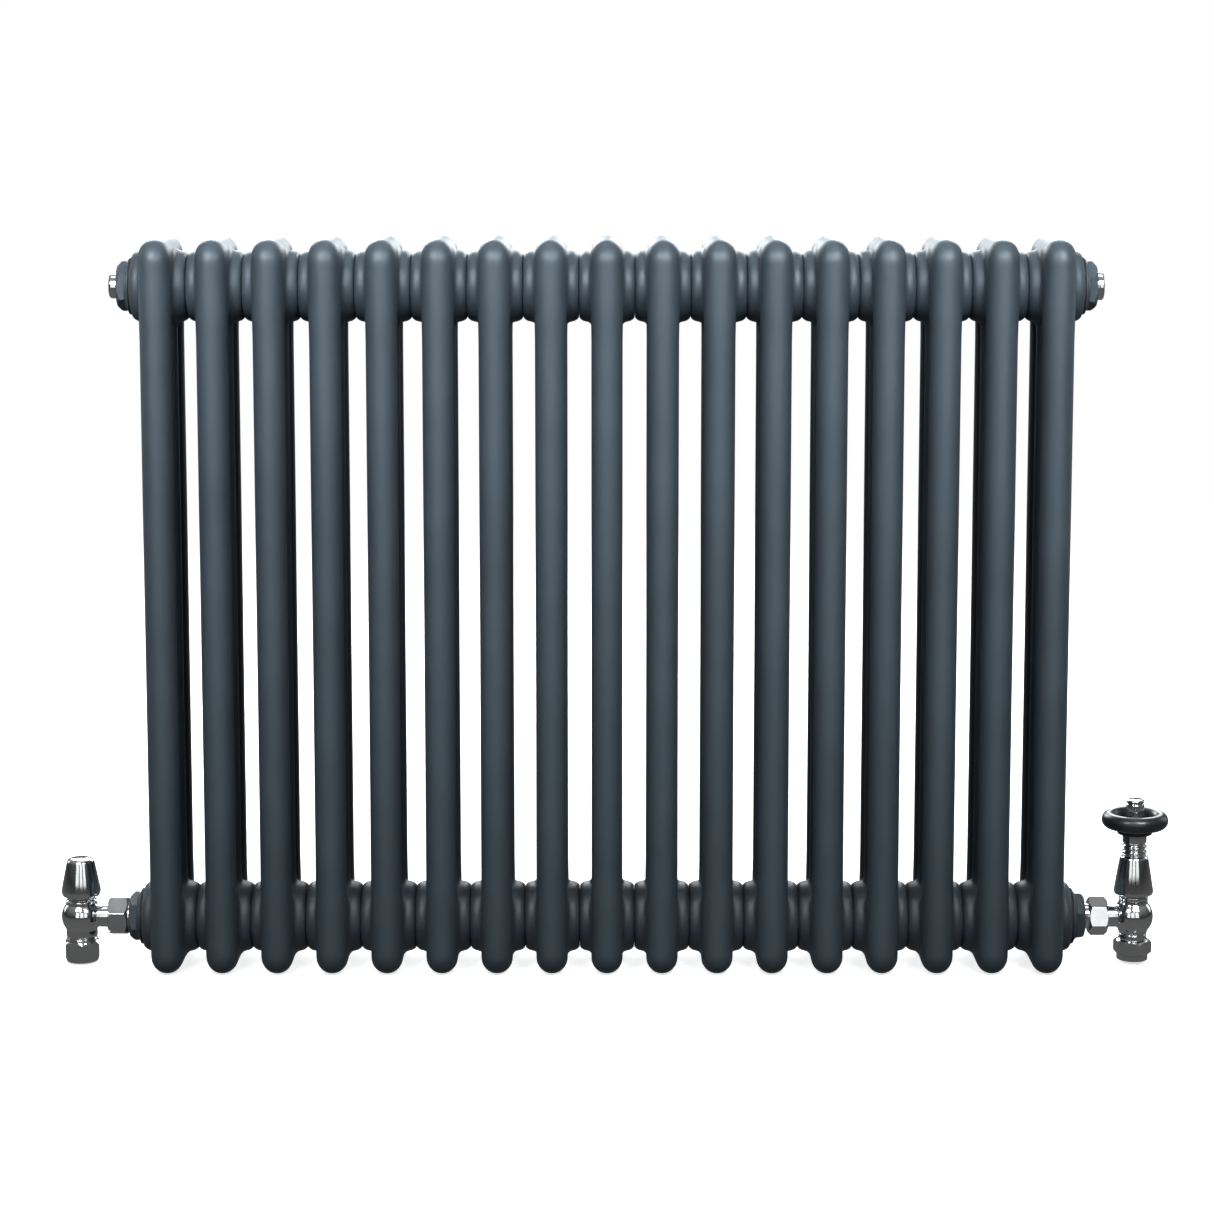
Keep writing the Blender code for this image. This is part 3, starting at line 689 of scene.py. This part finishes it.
def eased(profile, radius=0.35, closed=False, steps=3):
    """Rounds the corners of a profile a little, as a tool or a polishing wheel does."""
    points = [Vector(p) for p in profile]
    count = len(points)
    result = []
    for i, here in enumerate(points):
        if not closed and i in (0, count - 1):
            result.append(tuple(here))
            continue
        before, after = points[i - 1], points[(i + 1) % count]
        back, ahead = before - here, after - here
        turn = back.angle(ahead, math.pi) if back.length and ahead.length else math.pi
        if here.x == 0.0 or turn > NEARLY_STRAIGHT:
            result.append(tuple(here))
            continue
        start = here + back.normalized() * min(radius, back.length * LONGEST_CUT)
        end = here + ahead.normalized() * min(radius, ahead.length * LONGEST_CUT)
        for k in range(steps + 1):
            t = k / steps
            result.append(tuple(start * (1 - t) ** 2 + here * (2 * t * (1 - t)) + end * t**2))
    return result


print("a square corner becomes", len(eased([(1, 0), (1, 1), (2, 1)])) - 2, "points")

# %% [markdown]
# A nut is cut from hexagonal bar, and a turning tool then takes the sharp corners off both ends at 30
# degrees. That cut leaves a curved edge on each flat, highest in the middle, which is what makes a nut
# look like one. Here each end's height follows the outline's radius, and `cut` makes it shallow or deep.

# %% Hexagons and nuts
END_SLOPE = 0.577  # the tangent of 30 degrees
END_INSET = 0.35  # how far inside the flats a cut of 1 starts
FACE_INSET = 0.05  # keeps the flat face clear of that cut


def hexagon(corner_radius, rounding=0.5):
    """Radius of a hexagonal bar at each angle, with its corners just broken."""
    apothem = corner_radius * math.cos(math.pi / 6)
    inner = (apothem - rounding) / math.cos(math.pi / 6)
    radii = []
    for angle in ANGLES:
        off = abs((angle + math.pi / 6) % (math.pi / 3) - math.pi / 6)
        if inner * math.sin(off) < rounding / 2:
            radii.append(inner * math.cos(off) + math.sqrt(rounding**2 - (inner * math.sin(off)) ** 2))
        else:
            radii.append(apothem / math.cos(math.pi / 6 - off))
    return radii


def nut_rings(corner_radius, low, high, bore_low, bore_high, shoulder, cut_low, cut_high):
    """A nut from one height to another, with both ends turned down and a bore that steps at a shoulder."""
    outline = hexagon(corner_radius)
    apothem = corner_radius * math.cos(math.pi / 6)
    rings = []
    for end, cut, way in ((high, cut_high, -1), (low, cut_low, 1)):
        flat = apothem - END_INSET * cut
        edge = [end + way * max(r - flat, 0.0) * END_SLOPE * cut for r in outline]
        pair = [(flat - FACE_INSET, end), (outline, edge)]
        rings += pair if way == -1 else pair[::-1]
    bore = [(bore_low, low), (bore_low, shoulder), (bore_high, shoulder), (bore_high, high)]
    return rings + bore


print("ring of a nut", len(hexagon(20.0)), "radii")

# %% [markdown]
# Each nut was left at its own angle when it was tightened, and the model has those angles. They aren't
# stated anywhere, so they are read back from the mesh: the points furthest from the axis are the corners,
# and six times their angle points the same way for all six, so its average gives the turn.

# %% How far a nut was turned
CORNER_SHARE = 0.985  # a point this near the greatest radius belongs to a corner


def corner_turn(node, axes, centre, low, high):
    """The angle at which a model node's hexagon has a corner, read between two heights."""
    along, u, v = axes
    found = []
    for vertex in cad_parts[node].data.vertices:
        offset = vertex.co / MM - centre
        if low <= offset.dot(along) <= high:
            across, up = offset.dot(u), offset.dot(v)
            found.append((math.hypot(across, up), math.atan2(up, across)))
    widest = max(r for r, _ in found)
    corners = [a for r, a in found if r > CORNER_SHARE * widest]
    sines, cosines = sum(math.sin(6 * a) for a in corners), sum(math.cos(6 * a) for a in corners)
    return math.atan2(sines, cosines) / 6


print("nut reader ready")

# %% [markdown]
# A reducing bush closes each corner of the radiator. It is one steel piece: a shank inside the hub, a
# collar with two steps that seats on a flat rubber gasket, and a hexagon for the spanner. It is coated
# together with the radiator, so its edges are softened by the paint.

# %% Bushes and gaskets
BUSH_BORE, BUSH_CORNERS = 10.5, 20.2  # radii
HEX_START, HEX_MIDDLE, BUSH_FACE = 4.8, 8.0, 12.1  # distances out from the core's end
CORNERS = {
    "top_left": (LEFT, -CORE_END, HIGH_PORT), "top_right": (RIGHT, CORE_END, HIGH_PORT),
    "bottom_left": (LEFT, -CORE_END, LOW_PORT), "bottom_right": (RIGHT, CORE_END, LOW_PORT),
}
collar = [
    (BUSH_BORE, -12.0), (16.8, -12.0), (16.8, 1.6), (23.0, 1.6), (23.0, 2.7), (22.0, 3.2), (19.8, 3.5),
    (19.4, 5.0), (18.6, 5.5), (BUSH_BORE, 5.5),
]
for corner, (axes, x, z) in CORNERS.items():
    centre = Vector((x, 0.0, z))
    twist = corner_turn(f"bush_{corner}", axes, centre, 6.0, 13.0)
    bm = bmesh.new()
    loft(bm, axes, centre, eased(collar, 0.5, closed=True), closed=True)
    loft(
        bm, axes, centre,
        nut_rings(BUSH_CORNERS, HEX_START, BUSH_FACE, BUSH_BORE, BUSH_BORE, HEX_MIDDLE, 0.3, 1.8),
        closed=True, twist=twist,
    )
    place_piece(mesh_object(f"bush_fine_{corner}", bm), "radiator", "paint", f"bush_{corner}")
    bm = bmesh.new()
    ring = [(17.4, 0.3), (22.3, 0.3), (22.3, 1.3), (17.4, 1.3)]
    loft(bm, axes, centre, eased(ring, 0.25, closed=True), closed=True)
    place_piece(mesh_object(f"gasket_fine_{corner}", bm), "radiator", "rubber", f"gasket_{corner}")

# %% [markdown]
# The two upper ports are shut. On the left is a headless plug with a domed rim and a hexagon socket. It
# is one loft that starts at the bottom of the socket, comes up its six walls and goes on over the dome.

# %% Blanking plug
centre = Vector((-CORE_END, 0.0, HIGH_PORT))
socket = hexagon(4.6, 0.3)
dome = eased([(7.6, 19.3), (9.2, 18.9), (9.95, 17.4), (9.95, 2.0)], 0.6)
bm = bmesh.new()
loft(
    bm, LEFT, centre,
    [(0.0, 14.2), (socket, 14.4), (socket, 18.8), ([r + 0.5 for r in socket], 19.3)] + dome + [(0.0, 2.0)],
    twist=math.radians(30.0),
)
place_piece(mesh_object("blanking_plug_fine", bm), "radiator", "chrome", "blanking_plug")

# %% [markdown]
# On the right is an air vent, a flanged plug with a driver slot across it and the bleed screw in its bore.
# The slot is cut with a Boolean, the quickest way to take a straight groove out of a turned shape.

# %% Air vent
VENT_END = 18.2
SLOT_WIDTH, SLOT_DEPTH = 2.2, 1.8
SLOT_REACH = 40.0  # the cutter runs well past the flange on both sides


def cut_away(obj, cutter):
    """Takes one object out of another and keeps the result as a plain mesh."""
    boolean = obj.modifiers.new("cut", "BOOLEAN")
    boolean.operation = "DIFFERENCE"
    boolean.solver = "EXACT"
    boolean.object = cutter
    graph = bpy.context.evaluated_depsgraph_get()
    mesh = bpy.data.meshes.new_from_object(obj.evaluated_get(graph))
    obj.modifiers.clear()
    obj.data = mesh
    smooth(mesh)
    bpy.data.objects.remove(cutter)
    return obj


centre = Vector((CORE_END, 0.0, HIGH_PORT))
vent = [
    (3.6, VENT_END), (10.2, VENT_END), (11.3, 17.2), (11.3, 12.5), (9.95, 12.4), (9.95, 2.0), (1.2, 2.0),
    (1.2, 4.9), (3.6, 4.9),
]
bm = bmesh.new()
loft(bm, RIGHT, centre, eased(vent, 0.5, closed=True), closed=True)
vent_piece = mesh_object("air_vent_fine", bm)
bm = bmesh.new()
bmesh.ops.create_cube(bm, size=1.0)
bmesh.ops.scale(bm, vec=Vector((2 * SLOT_DEPTH, SLOT_WIDTH, SLOT_REACH)) * MM, verts=bm.verts)
bmesh.ops.translate(bm, vec=(centre + Vector((VENT_END, 0.0, 0.0))) * MM, verts=bm.verts)
place_piece(cut_away(vent_piece, mesh_object("slot_cutter", bm)), "radiator", "chrome", "air_vent_body")

# %% [markdown]
# Both valve bodies are a ball with a neck above, a neck below and a branch towards the radiator. Because
# the branch points straight at the ball's centre, the fillet between them is itself a turned shape, so
# the body is two lofts: one upright, one lying down whose flare meets the ball along its tangent.

# %% Balls and flares
def ball_arc(radius, centre, high, low, count=14):
    """The outline of a ball from one height down to another."""
    start, end = math.asin((high - centre) / radius), math.asin((low - centre) / radius)
    angles = [start + (end - start) * i / count for i in range(count + 1)]
    return [(radius * math.cos(a), centre + radius * math.sin(a)) for a in angles]


def flare(ball, neck, fillet, steps=8):
    """A concave arc from the ball's surface to a neck that points at its centre, as radius and height."""
    reach = math.sqrt((ball + fillet) ** 2 - (neck + fillet) ** 2)
    start = math.pi + math.atan2(neck + fillet, reach)
    points = []
    for i in range(steps + 1):
        angle = start + (math.pi * 1.5 - start) * i / steps
        points.append((neck + fillet + fillet * math.sin(angle), reach + fillet * math.cos(angle)))
    return points


print("branch flare", [round(v, 2) for v in flare(16.4, 9.2, 2.6)[0]], "radius and height in mm")

# %% [markdown]
# Inside, a body has the pipe's socket from below, a seat, and a chamber from above for the spindle or
# the insert. The branch is solid, because nothing inside it can be seen, and it ends in the thread that
# the union nut hides. Below the ball a necked collar leads down to the thread for the inlet nut.

# %% Valve bodies
PIPE_BORE, SEAT_BORE, CHAMBER = 7.8, 5.5, 10.0  # radii
PIPE_STOP = 18.0
BRANCH_RADIUS, BRANCH_THREAD, THREAD_LENGTH = 9.2, 11.8, 9.0
BRANCH_FILLET = 2.6


def valve_body(prefix, x, axes, neck, ball, ball_ends, lower, branch_end, seat):
    """Lofts a body down from its neck, or from the cut top of its ball, and adds its branch."""
    easing = 0.3
    skirt = eased(lower, easing)[1:-1]
    outer = neck + ball_arc(ball, LOW_PORT, *ball_ends) + skirt
    top, socket_mouth = outer[0][1], lower[-1][1]
    bores = [(PIPE_BORE, socket_mouth), (PIPE_BORE, PIPE_STOP), (SEAT_BORE, PIPE_STOP), (SEAT_BORE, seat),
             (CHAMBER, seat), (CHAMBER, top)]
    bm = bmesh.new()
    loft(bm, UP, Vector((x, 0.0, 0.0)), outer + bores, closed=True)
    neck_end = branch_end - THREAD_LENGTH
    branch = [(0.0, 6.0), (8.0, 8.0)] + flare(ball, BRANCH_RADIUS, BRANCH_FILLET)
    branch += eased([(BRANCH_RADIUS, neck_end - 1.5), (BRANCH_RADIUS, neck_end), (BRANCH_THREAD, neck_end),
                     (BRANCH_THREAD, branch_end), (0.0, branch_end)], easing)
    loft(bm, axes, Vector((x, 0.0, LOW_PORT)), branch)
    place_piece(mesh_object(f"{prefix}_body_fine", bm), "radiator", "chrome", f"{prefix}_body")


valve_body(
    "lockshield", LOCKSHIELD_X, RIGHT, neck=[], ball=16.4, ball_ends=(49.6, 29.4), branch_end=33.0, seat=34.0,
    lower=[(13.2, 29.2), (12.8, 28.0), (12.8, 22.8), (11.6, 22.5), (11.6, 21.1), (12.8, 20.8), (12.8, 19.3),
           (10.4, 19.3), (10.4, 9.0), (7.8, 9.0)],
)
valve_body(
    "thermostat", THERMOSTAT_X, LEFT, neck=[(12.0, 52.4), (12.0, 50.4)], ball=16.5, ball_ends=(50.3, 28.4),
    branch_end=31.3, seat=32.0,
    lower=[(12.6, 28.2), (12.0, 27.2), (11.9, 25.9), (10.7, 25.5), (10.7, 24.4), (11.4, 24.1), (11.4, 19.7),
           (10.4, 19.7), (10.4, 10.0), (7.8, 10.0)],
)

# %% [markdown]
# A union joins each valve to its bush: a tail screwed into the bush ends in a flange, and a loose nut
# draws that flange onto the branch. The two valves differ a little in length and in their nuts' size.

# %% Unions
TAIL_BORE, TAIL_THREAD, FLANGE_RADIUS, UNION_BORE = 7.2, 9.95, 11.8, 12.4  # radii
TAIL_ENTRY = 10.0  # how far the tail screws into the bush
FLANGE_SETBACK, FLANGE_THICKNESS = 6.1, 2.2
UNION_WALL = 3.5  # the end wall of the nut, which pulls on the flange
UNION_CUT = 1.5


def union(prefix, x, axes, nut_start, nut_end, corners, tail_radius):
    """Distances run along the branch from the valve's axis; corners and tail_radius are radii."""
    centre = Vector((x, 0.0, LOW_PORT))
    bush_face = abs(x) - CORE_END - BUSH_FACE
    flange = nut_end - FLANGE_SETBACK
    flange_back, tail_end = flange + FLANGE_THICKNESS, bush_face + TAIL_ENTRY
    tail = [
        (TAIL_BORE, tail_end), (TAIL_THREAD, tail_end), (TAIL_THREAD, bush_face - 0.3),
        (tail_radius, bush_face - 0.4), (tail_radius, flange_back), (FLANGE_RADIUS, flange_back),
        (FLANGE_RADIUS, flange), (TAIL_BORE, flange),
    ]
    bm = bmesh.new()
    loft(bm, axes, centre, eased(tail, 0.4, closed=True), closed=True)
    place_piece(mesh_object(f"{prefix}_tail_fine", bm), "radiator", "chrome", f"{prefix}_tail")
    twist = corner_turn(f"{prefix}_union_nut", axes, centre, nut_start - 1.0, nut_end + 1.0)
    bm = bmesh.new()
    rings = nut_rings(
        corners, nut_start, nut_end, UNION_BORE, tail_radius + 0.4, nut_end - UNION_WALL, UNION_CUT,
        UNION_CUT,
    )
    loft(bm, axes, centre, rings, closed=True, twist=twist)
    place_piece(mesh_object(f"{prefix}_union_nut_fine", bm), "radiator", "chrome", f"{prefix}_union_nut")


union("lockshield", LOCKSHIELD_X, RIGHT, nut_start=23.1, nut_end=39.5, corners=16.6, tail_radius=10.9)
union("thermostat", THERMOSTAT_X, LEFT, nut_start=22.1, nut_end=37.8, corners=16.1, tail_radius=10.4)

# %% [markdown]
# Below each body a compression nut takes the pipe. It is a hexagon with a turned rim under it, so it is
# two lofts that sink into each other: the hexagon with a plain bore, and the rim with the shoulder that
# presses on the olive.

# %% Inlet nuts
INLET_CORNERS, INLET_BORE = 15.9, 11.0  # radii
OLIVE_ROOM = 3.5  # from the end of the body's thread down to the shoulder
OVERLAP = 1.0
INLET_CUT = 1.3


def inlet_nut(prefix, x, top, hex_bottom, bottom, rim, thread_end):
    """Heights above the floor, and the radius of the turned rim."""
    centre = Vector((x, 0.0, 0.0))
    half_way, shoulder = (hex_bottom + top) / 2, thread_end - OLIVE_ROOM
    twist = corner_turn(f"{prefix}_inlet_nut", UP, centre, hex_bottom + 1.5, top + 1.0)
    bm = bmesh.new()
    rings = nut_rings(
        INLET_CORNERS, hex_bottom, top, INLET_BORE, INLET_BORE, half_way, INLET_CUT, INLET_CUT,
    )
    loft(bm, UP, centre, rings, closed=True, twist=twist)
    collar = [
        (INLET_BORE, hex_bottom + OVERLAP), (rim, hex_bottom + OVERLAP), (rim, bottom), (PIPE_BORE, bottom),
        (PIPE_BORE, shoulder), (INLET_BORE, shoulder),
    ]
    loft(bm, UP, centre, eased(collar, 0.45, closed=True), closed=True)
    place_piece(mesh_object(f"{prefix}_inlet_nut_fine", bm), "radiator", "chrome", f"{prefix}_inlet_nut")


inlet_nut("lockshield", LOCKSHIELD_X, top=18.9, hex_bottom=3.6, bottom=1.5, rim=13.2, thread_end=9.0)
inlet_nut("thermostat", THERMOSTAT_X, top=19.3, hex_bottom=7.7, bottom=2.8, rim=12.85, thread_end=10.0)

# %% [markdown]
# The rest of both valves is plain turning, so it is a list: the node, the place of its axis, the body it
# rides on, its finish, how far its corners are eased, and its profile as radii and heights. A profile that
# starts and ends on the axis makes a solid, and any other is closed into a ring. The cap lifts off the
# bonnet, and the wheel with its hub and plate turns on the neck.

# %% Caps, collars, barrel, neck and hub
TURNED = [
    ("lockshield_bonnet", LOCKSHIELD_X, "radiator", "chrome", 0.35, [
        (9.0, 60.0), (9.0, 53.0), (12.8, 52.6), (12.8, 50.2), (12.2, 49.9), (9.5, 49.9), (9.5, 44.0),
        (4.3, 44.0), (4.3, 60.0)]),
    ("lockshield_cap", LOCKSHIELD_X, "lockshield_cover", "chrome", 0.9, [
        (0.0, 88.2), (4.0, 88.15), (7.6, 87.95), (9.9, 87.2), (11.0, 86.0), (11.45, 84.6), (16.05, 61.6),
        (16.05, 59.8), (15.3, 57.4), (14.6, 56.4), (13.4, 56.4), (13.4, 58.4), (9.4, 58.4), (9.4, 83.0),
        (0.0, 84.6)]),
    ("thermostat_insert", THERMOSTAT_X, "radiator", "chrome", 0.35, [
        (8.0, 66.0), (8.0, 57.1), (11.4, 56.8), (12.15, 56.0), (12.15, 53.6), (11.5, 52.7), (9.5, 52.7),
        (9.5, 46.0), (2.5, 46.0), (2.5, 50.0), (6.2, 50.0), (6.2, 66.0)]),
    ("thermostat_barrel", THERMOSTAT_X, "radiator", "chrome", 0.6, [
        (11.0, 89.7), (11.7, 88.6), (16.2, 61.4), (16.2, 59.6), (15.3, 58.0), (13.9, 58.0), (13.9, 60.0),
        (8.5, 60.0), (8.5, 66.0), (9.4, 67.0), (9.4, 87.8), (7.0, 87.8), (7.0, 89.7)]),
    ("thermostat_neck", THERMOSTAT_X, "radiator", "chrome", 0.45, [
        (9.95, 108.6), (9.95, 101.7), (8.5, 100.9), (8.5, 99.5), (10.25, 98.9), (10.25, 97.5), (8.5, 96.6),
        (8.5, 94.9), (10.25, 94.1), (10.25, 92.5), (9.25, 91.7), (9.25, 90.0), (6.6, 90.0), (6.6, 88.2),
        (5.5, 88.2), (5.5, 108.6)]),
    ("thermostat_hub", THERMOSTAT_X, "thermostat_head", "black", 0.5, [
        (0.0, 118.0), (4.8, 118.0), (4.8, 114.0), (10.0, 114.0), (10.0, 112.7), (14.3, 112.7), (14.3, 108.9),
        (5.0, 108.9), (5.0, 88.9), (0.0, 88.9)]),
    ("thermostat_plate", THERMOSTAT_X, "thermostat_head", "chrome", 0.35, [
        (13.6, 118.0), (14.8, 117.4), (14.8, 116.6), (5.3, 116.6), (5.3, 118.0)]),
]
for node, x, body, slot, easing, profile in TURNED:
    ring = profile[0][0] != 0.0
    bm = bmesh.new()
    loft(bm, UP, Vector((x, 0.0, 0.0)), eased(profile, easing, closed=ring), closed=ring)
    place_piece(mesh_object(f"{node}_fine", bm), body, slot, node)

# %% [markdown]
# The wheel is a fat rim, oval in section, on a thin web with a hole for the hub. Its outline goes round
# the oval from the top of the web to its underside, and then crosses to the hole, so the rim and the web
# are one loft without a seam.

# %% Wheel
RIM_RADIUS, RIM_HEIGHT = 21.35, 120.3
RIM_HALF_WIDTH, RIM_HALF_HEIGHT = 5.9, 6.5
WEB_HIGH, WEB_LOW, WEB_HOLE = 116.3, 114.3, 5.3
RIM_STEPS = 40

begin = math.pi - math.asin((WEB_HIGH - RIM_HEIGHT) / RIM_HALF_HEIGHT)
end = -math.pi - math.asin((WEB_LOW - RIM_HEIGHT) / RIM_HALF_HEIGHT)
wheel = []
for i in range(RIM_STEPS + 1):
    angle = begin + (end - begin) * i / RIM_STEPS
    out, up = RIM_HALF_WIDTH * math.cos(angle), RIM_HALF_HEIGHT * math.sin(angle)
    wheel.append((RIM_RADIUS + out, RIM_HEIGHT + up))
wheel += [(WEB_HOLE, WEB_LOW), (WEB_HOLE, WEB_HIGH)]
bm = bmesh.new()
loft(bm, UP, Vector((THERMOSTAT_X, 0.0, 0.0)), wheel, closed=True)
place_piece(mesh_object("thermostat_wheel_fine", bm), "thermostat_head", "black", "thermostat_wheel")

# %% [markdown]
# The knob in the middle of the wheel screws it down and has ribs for the fingers. The ribs repeat round
# an axis, so a second node tree sets one small bar at each point of a circle and joins them to the core,
# which comes in as the geometry that the tree runs on.

# %% A tree of ribs
def rib_tree():
    tree = new_tree("ribs_round_a_knob", {
        "Core": "Geometry", "Count": "Int", "Radius": "Float", "Rib radius": "Float",
        "Rib length": "Float", "Centre": "Vector", "Finish": "Material",
    }, "Knob")
    add, link = tree.nodes.new, tree.links.new
    given, result = add("NodeGroupInput"), add("NodeGroupOutput")
    circle = add("GeometryNodeMeshCircle")
    bar = add("GeometryNodeMeshCylinder")
    bar.inputs["Vertices"].default_value = 8
    smooth = add("GeometryNodeSetShadeSmooth")
    put = add("GeometryNodeInstanceOnPoints")
    move = add("GeometryNodeTransform")
    join = add("GeometryNodeJoinGeometry")
    real = add("GeometryNodeRealizeInstances")
    coat = add("GeometryNodeSetMaterial")
    link(given.outputs["Count"], circle.inputs["Vertices"])
    link(given.outputs["Radius"], circle.inputs["Radius"])
    link(given.outputs["Rib radius"], bar.inputs["Radius"])
    link(given.outputs["Rib length"], bar.inputs["Depth"])
    link(circle.outputs["Mesh"], put.inputs["Points"])
    link(bar.outputs["Mesh"], smooth.inputs["Geometry"])
    link(smooth.outputs["Geometry"], put.inputs["Instance"])
    link(put.outputs["Instances"], move.inputs["Geometry"])
    link(given.outputs["Centre"], move.inputs["Translation"])
    link(given.outputs["Core"], join.inputs["Geometry"])
    link(move.outputs["Geometry"], join.inputs["Geometry"])
    link(join.outputs["Geometry"], real.inputs["Geometry"])
    link(real.outputs["Geometry"], coat.inputs["Geometry"])
    link(given.outputs["Finish"], coat.inputs["Material"])
    link(coat.outputs["Geometry"], result.inputs["Knob"])
    return tree


ribs = rib_tree()
print("rib tree", len(ribs.nodes), "nodes")

# %% [markdown]
# The core is turned with a flange at its foot and a bead under its top, and the ribs stand between the
# two. Twenty-two ribs of 1 mm leave about a rib's width between them.

# %% Ribbed knob
RIB_COUNT, RIB_CIRCLE, RIB_RADIUS, RIB_LENGTH, RIB_MIDDLE = 22, 6.95, 0.5, 12.0, 127.4
KNOB_SMOOTH_ANGLE = math.radians(50.0)

core = [
    (0.0, 137.7), (6.2, 137.7), (7.45, 136.8), (7.45, 135.3), (6.5, 134.9), (6.5, 133.9), (7.0, 133.6),
    (7.0, 120.9), (8.8, 119.8), (8.8, 118.4), (0.0, 118.4),
]
bm = bmesh.new()
loft(bm, UP, Vector((THERMOSTAT_X, 0.0, 0.0)), eased(core, 0.4))
knob = mesh_object("thermostat_knob_fine", bm)
knob.data = run_tree(knob, ribs, **{
    "Count": RIB_COUNT, "Radius": RIB_CIRCLE * MM, "Rib radius": RIB_RADIUS * MM,
    "Rib length": RIB_LENGTH * MM, "Centre": (THERMOSTAT_X * MM, 0.0, RIB_MIDDLE * MM),
    "Finish": chrome.material,
})
knob.data.set_sharp_from_angle(angle=KNOB_SMOOTH_ANGLE)
place_piece(knob, "thermostat_head", "chrome", "thermostat_knob")

# %% [markdown]
# A return spring sits between the floor of the thermostat's insert and the collar on the pin, and lifts
# the disc off its seat. A spring that only rode on the pin would sink into that floor as the pin goes
# down. This one is a round wire swept along a helix, held at the collar, and it rides on the pin. Its
# height comes from the model's box, and the wire's ends are closed by the curve.

# %% Return spring
SPRING_COIL, SPRING_WIRE = 4.5 * MM, 0.55 * MM  # radii
SPRING_TURNS, STEPS_A_TURN = 4.5, 24

spring_low, spring_high = (corner[2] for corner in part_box("thermostat_spring"))
helix_low, helix_high = spring_low + SPRING_WIRE, spring_high - SPRING_WIRE
wire = bpy.data.curves.new("spring_wire", "CURVE")
wire.dimensions = "3D"
wire.bevel_depth = SPRING_WIRE
wire.bevel_resolution = 3
wire.use_fill_caps = True
helix = wire.splines.new("POLY")
steps = int(SPRING_TURNS * STEPS_A_TURN)
helix.points.add(steps)
for step, point in enumerate(helix.points):
    angle = math.tau * step / STEPS_A_TURN
    x, y = THERMOSTAT_X * MM + SPRING_COIL * math.cos(angle), SPRING_COIL * math.sin(angle)
    point.co = (x, y, helix_low + (helix_high - helix_low) * step / steps, 1.0)
swept = add_object("spring_wire", wire)
spring_mesh = bpy.data.meshes.new_from_object(swept)
bpy.data.objects.remove(swept)
bm = bmesh.new()
bm.from_mesh(spring_mesh)
bpy.data.meshes.remove(spring_mesh)
spring = mesh_object("thermostat_spring_fine", bm)
place_piece(spring, "thermostat_stem", "steel", "thermostat_spring")
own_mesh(spring)

# %% [markdown]
# Small inner parts keep their engineering meshes: the spindle and its plug, the vent's needle and screw,
# the olives, and the sensor, pin and disc inside the thermostat. Most are in view only when a cap is off,
# but each still gets its finish.

# %% Finishes for the inner parts
INNER = {
    "brass": ("air_vent_needle", "air_vent_screw", "lockshield_olive", "lockshield_plug",
              "lockshield_spindle", "thermostat_olive"),
    "steel": ("thermostat_pin", "thermostat_sensor"),
    "rubber": ("thermostat_disc",),
}
for slot, nodes in INNER.items():
    for node in nodes:
        for material_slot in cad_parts[node].material_slots:
            material_slot.material = SLOTS[slot].material
print("inner parts", sum(len(nodes) for nodes in INNER.values()))

# %% [markdown]
# The stage is a pale floor just under the feet of the heads. A little light of its own lifts it to the
# white of the room, and its edge fades out, so that no horizon cuts the background. It is left out of
# reflections and of bounced light, which keeps the chrome and the undersides dark.

# %% Floor
FLOOR_RADIUS, FLOOR_DEPTH = 6.0, 0.0004
FADE_START, FADE_END = 1.2, 3.2  # metres from the middle

floor_finish = Finish("pale_floor")
floor_finish.shader.inputs["Roughness"].default_value = 0.9
floor_finish.colour(floor_finish.noise(6.0, 3.0), (0.78, 0.78, 0.78), (0.82, 0.82, 0.82))
bm = bmesh.new()
bmesh.ops.create_circle(bm, cap_ends=True, segments=96, radius=FLOOR_RADIUS)
bmesh.ops.translate(bm, vec=(0.0, 0.0, -FLOOR_DEPTH), verts=bm.verts)
floor = mesh_object("floor", bm)
floor.data.materials.append(floor_finish.material)
floor_tree = floor_finish.tree
floor_finish.shader.inputs["Emission Color"].default_value = (1.0, 1.0, 1.0, 1.0)
floor_finish.shader.inputs["Emission Strength"].default_value = 0.7
reach = floor_tree.nodes.new("ShaderNodeVectorMath")
reach.operation = "LENGTH"
fade = floor_tree.nodes.new("ShaderNodeMapRange")
fade.inputs["From Min"].default_value = FADE_START
fade.inputs["From Max"].default_value = FADE_END
fade.inputs["To Min"].default_value = 1.0
fade.inputs["To Max"].default_value = 0.0
floor_tree.links.new(floor_finish.place.outputs["Object"], reach.inputs[0])
floor_tree.links.new(reach.outputs["Value"], fade.inputs["Value"])
floor_tree.links.new(fade.outputs["Result"], floor_finish.shader.inputs["Alpha"])
floor.visible_glossy = False
floor.visible_diffuse = False
print("floor radius", FLOOR_RADIUS, "m, opaque to", FADE_START, "m")
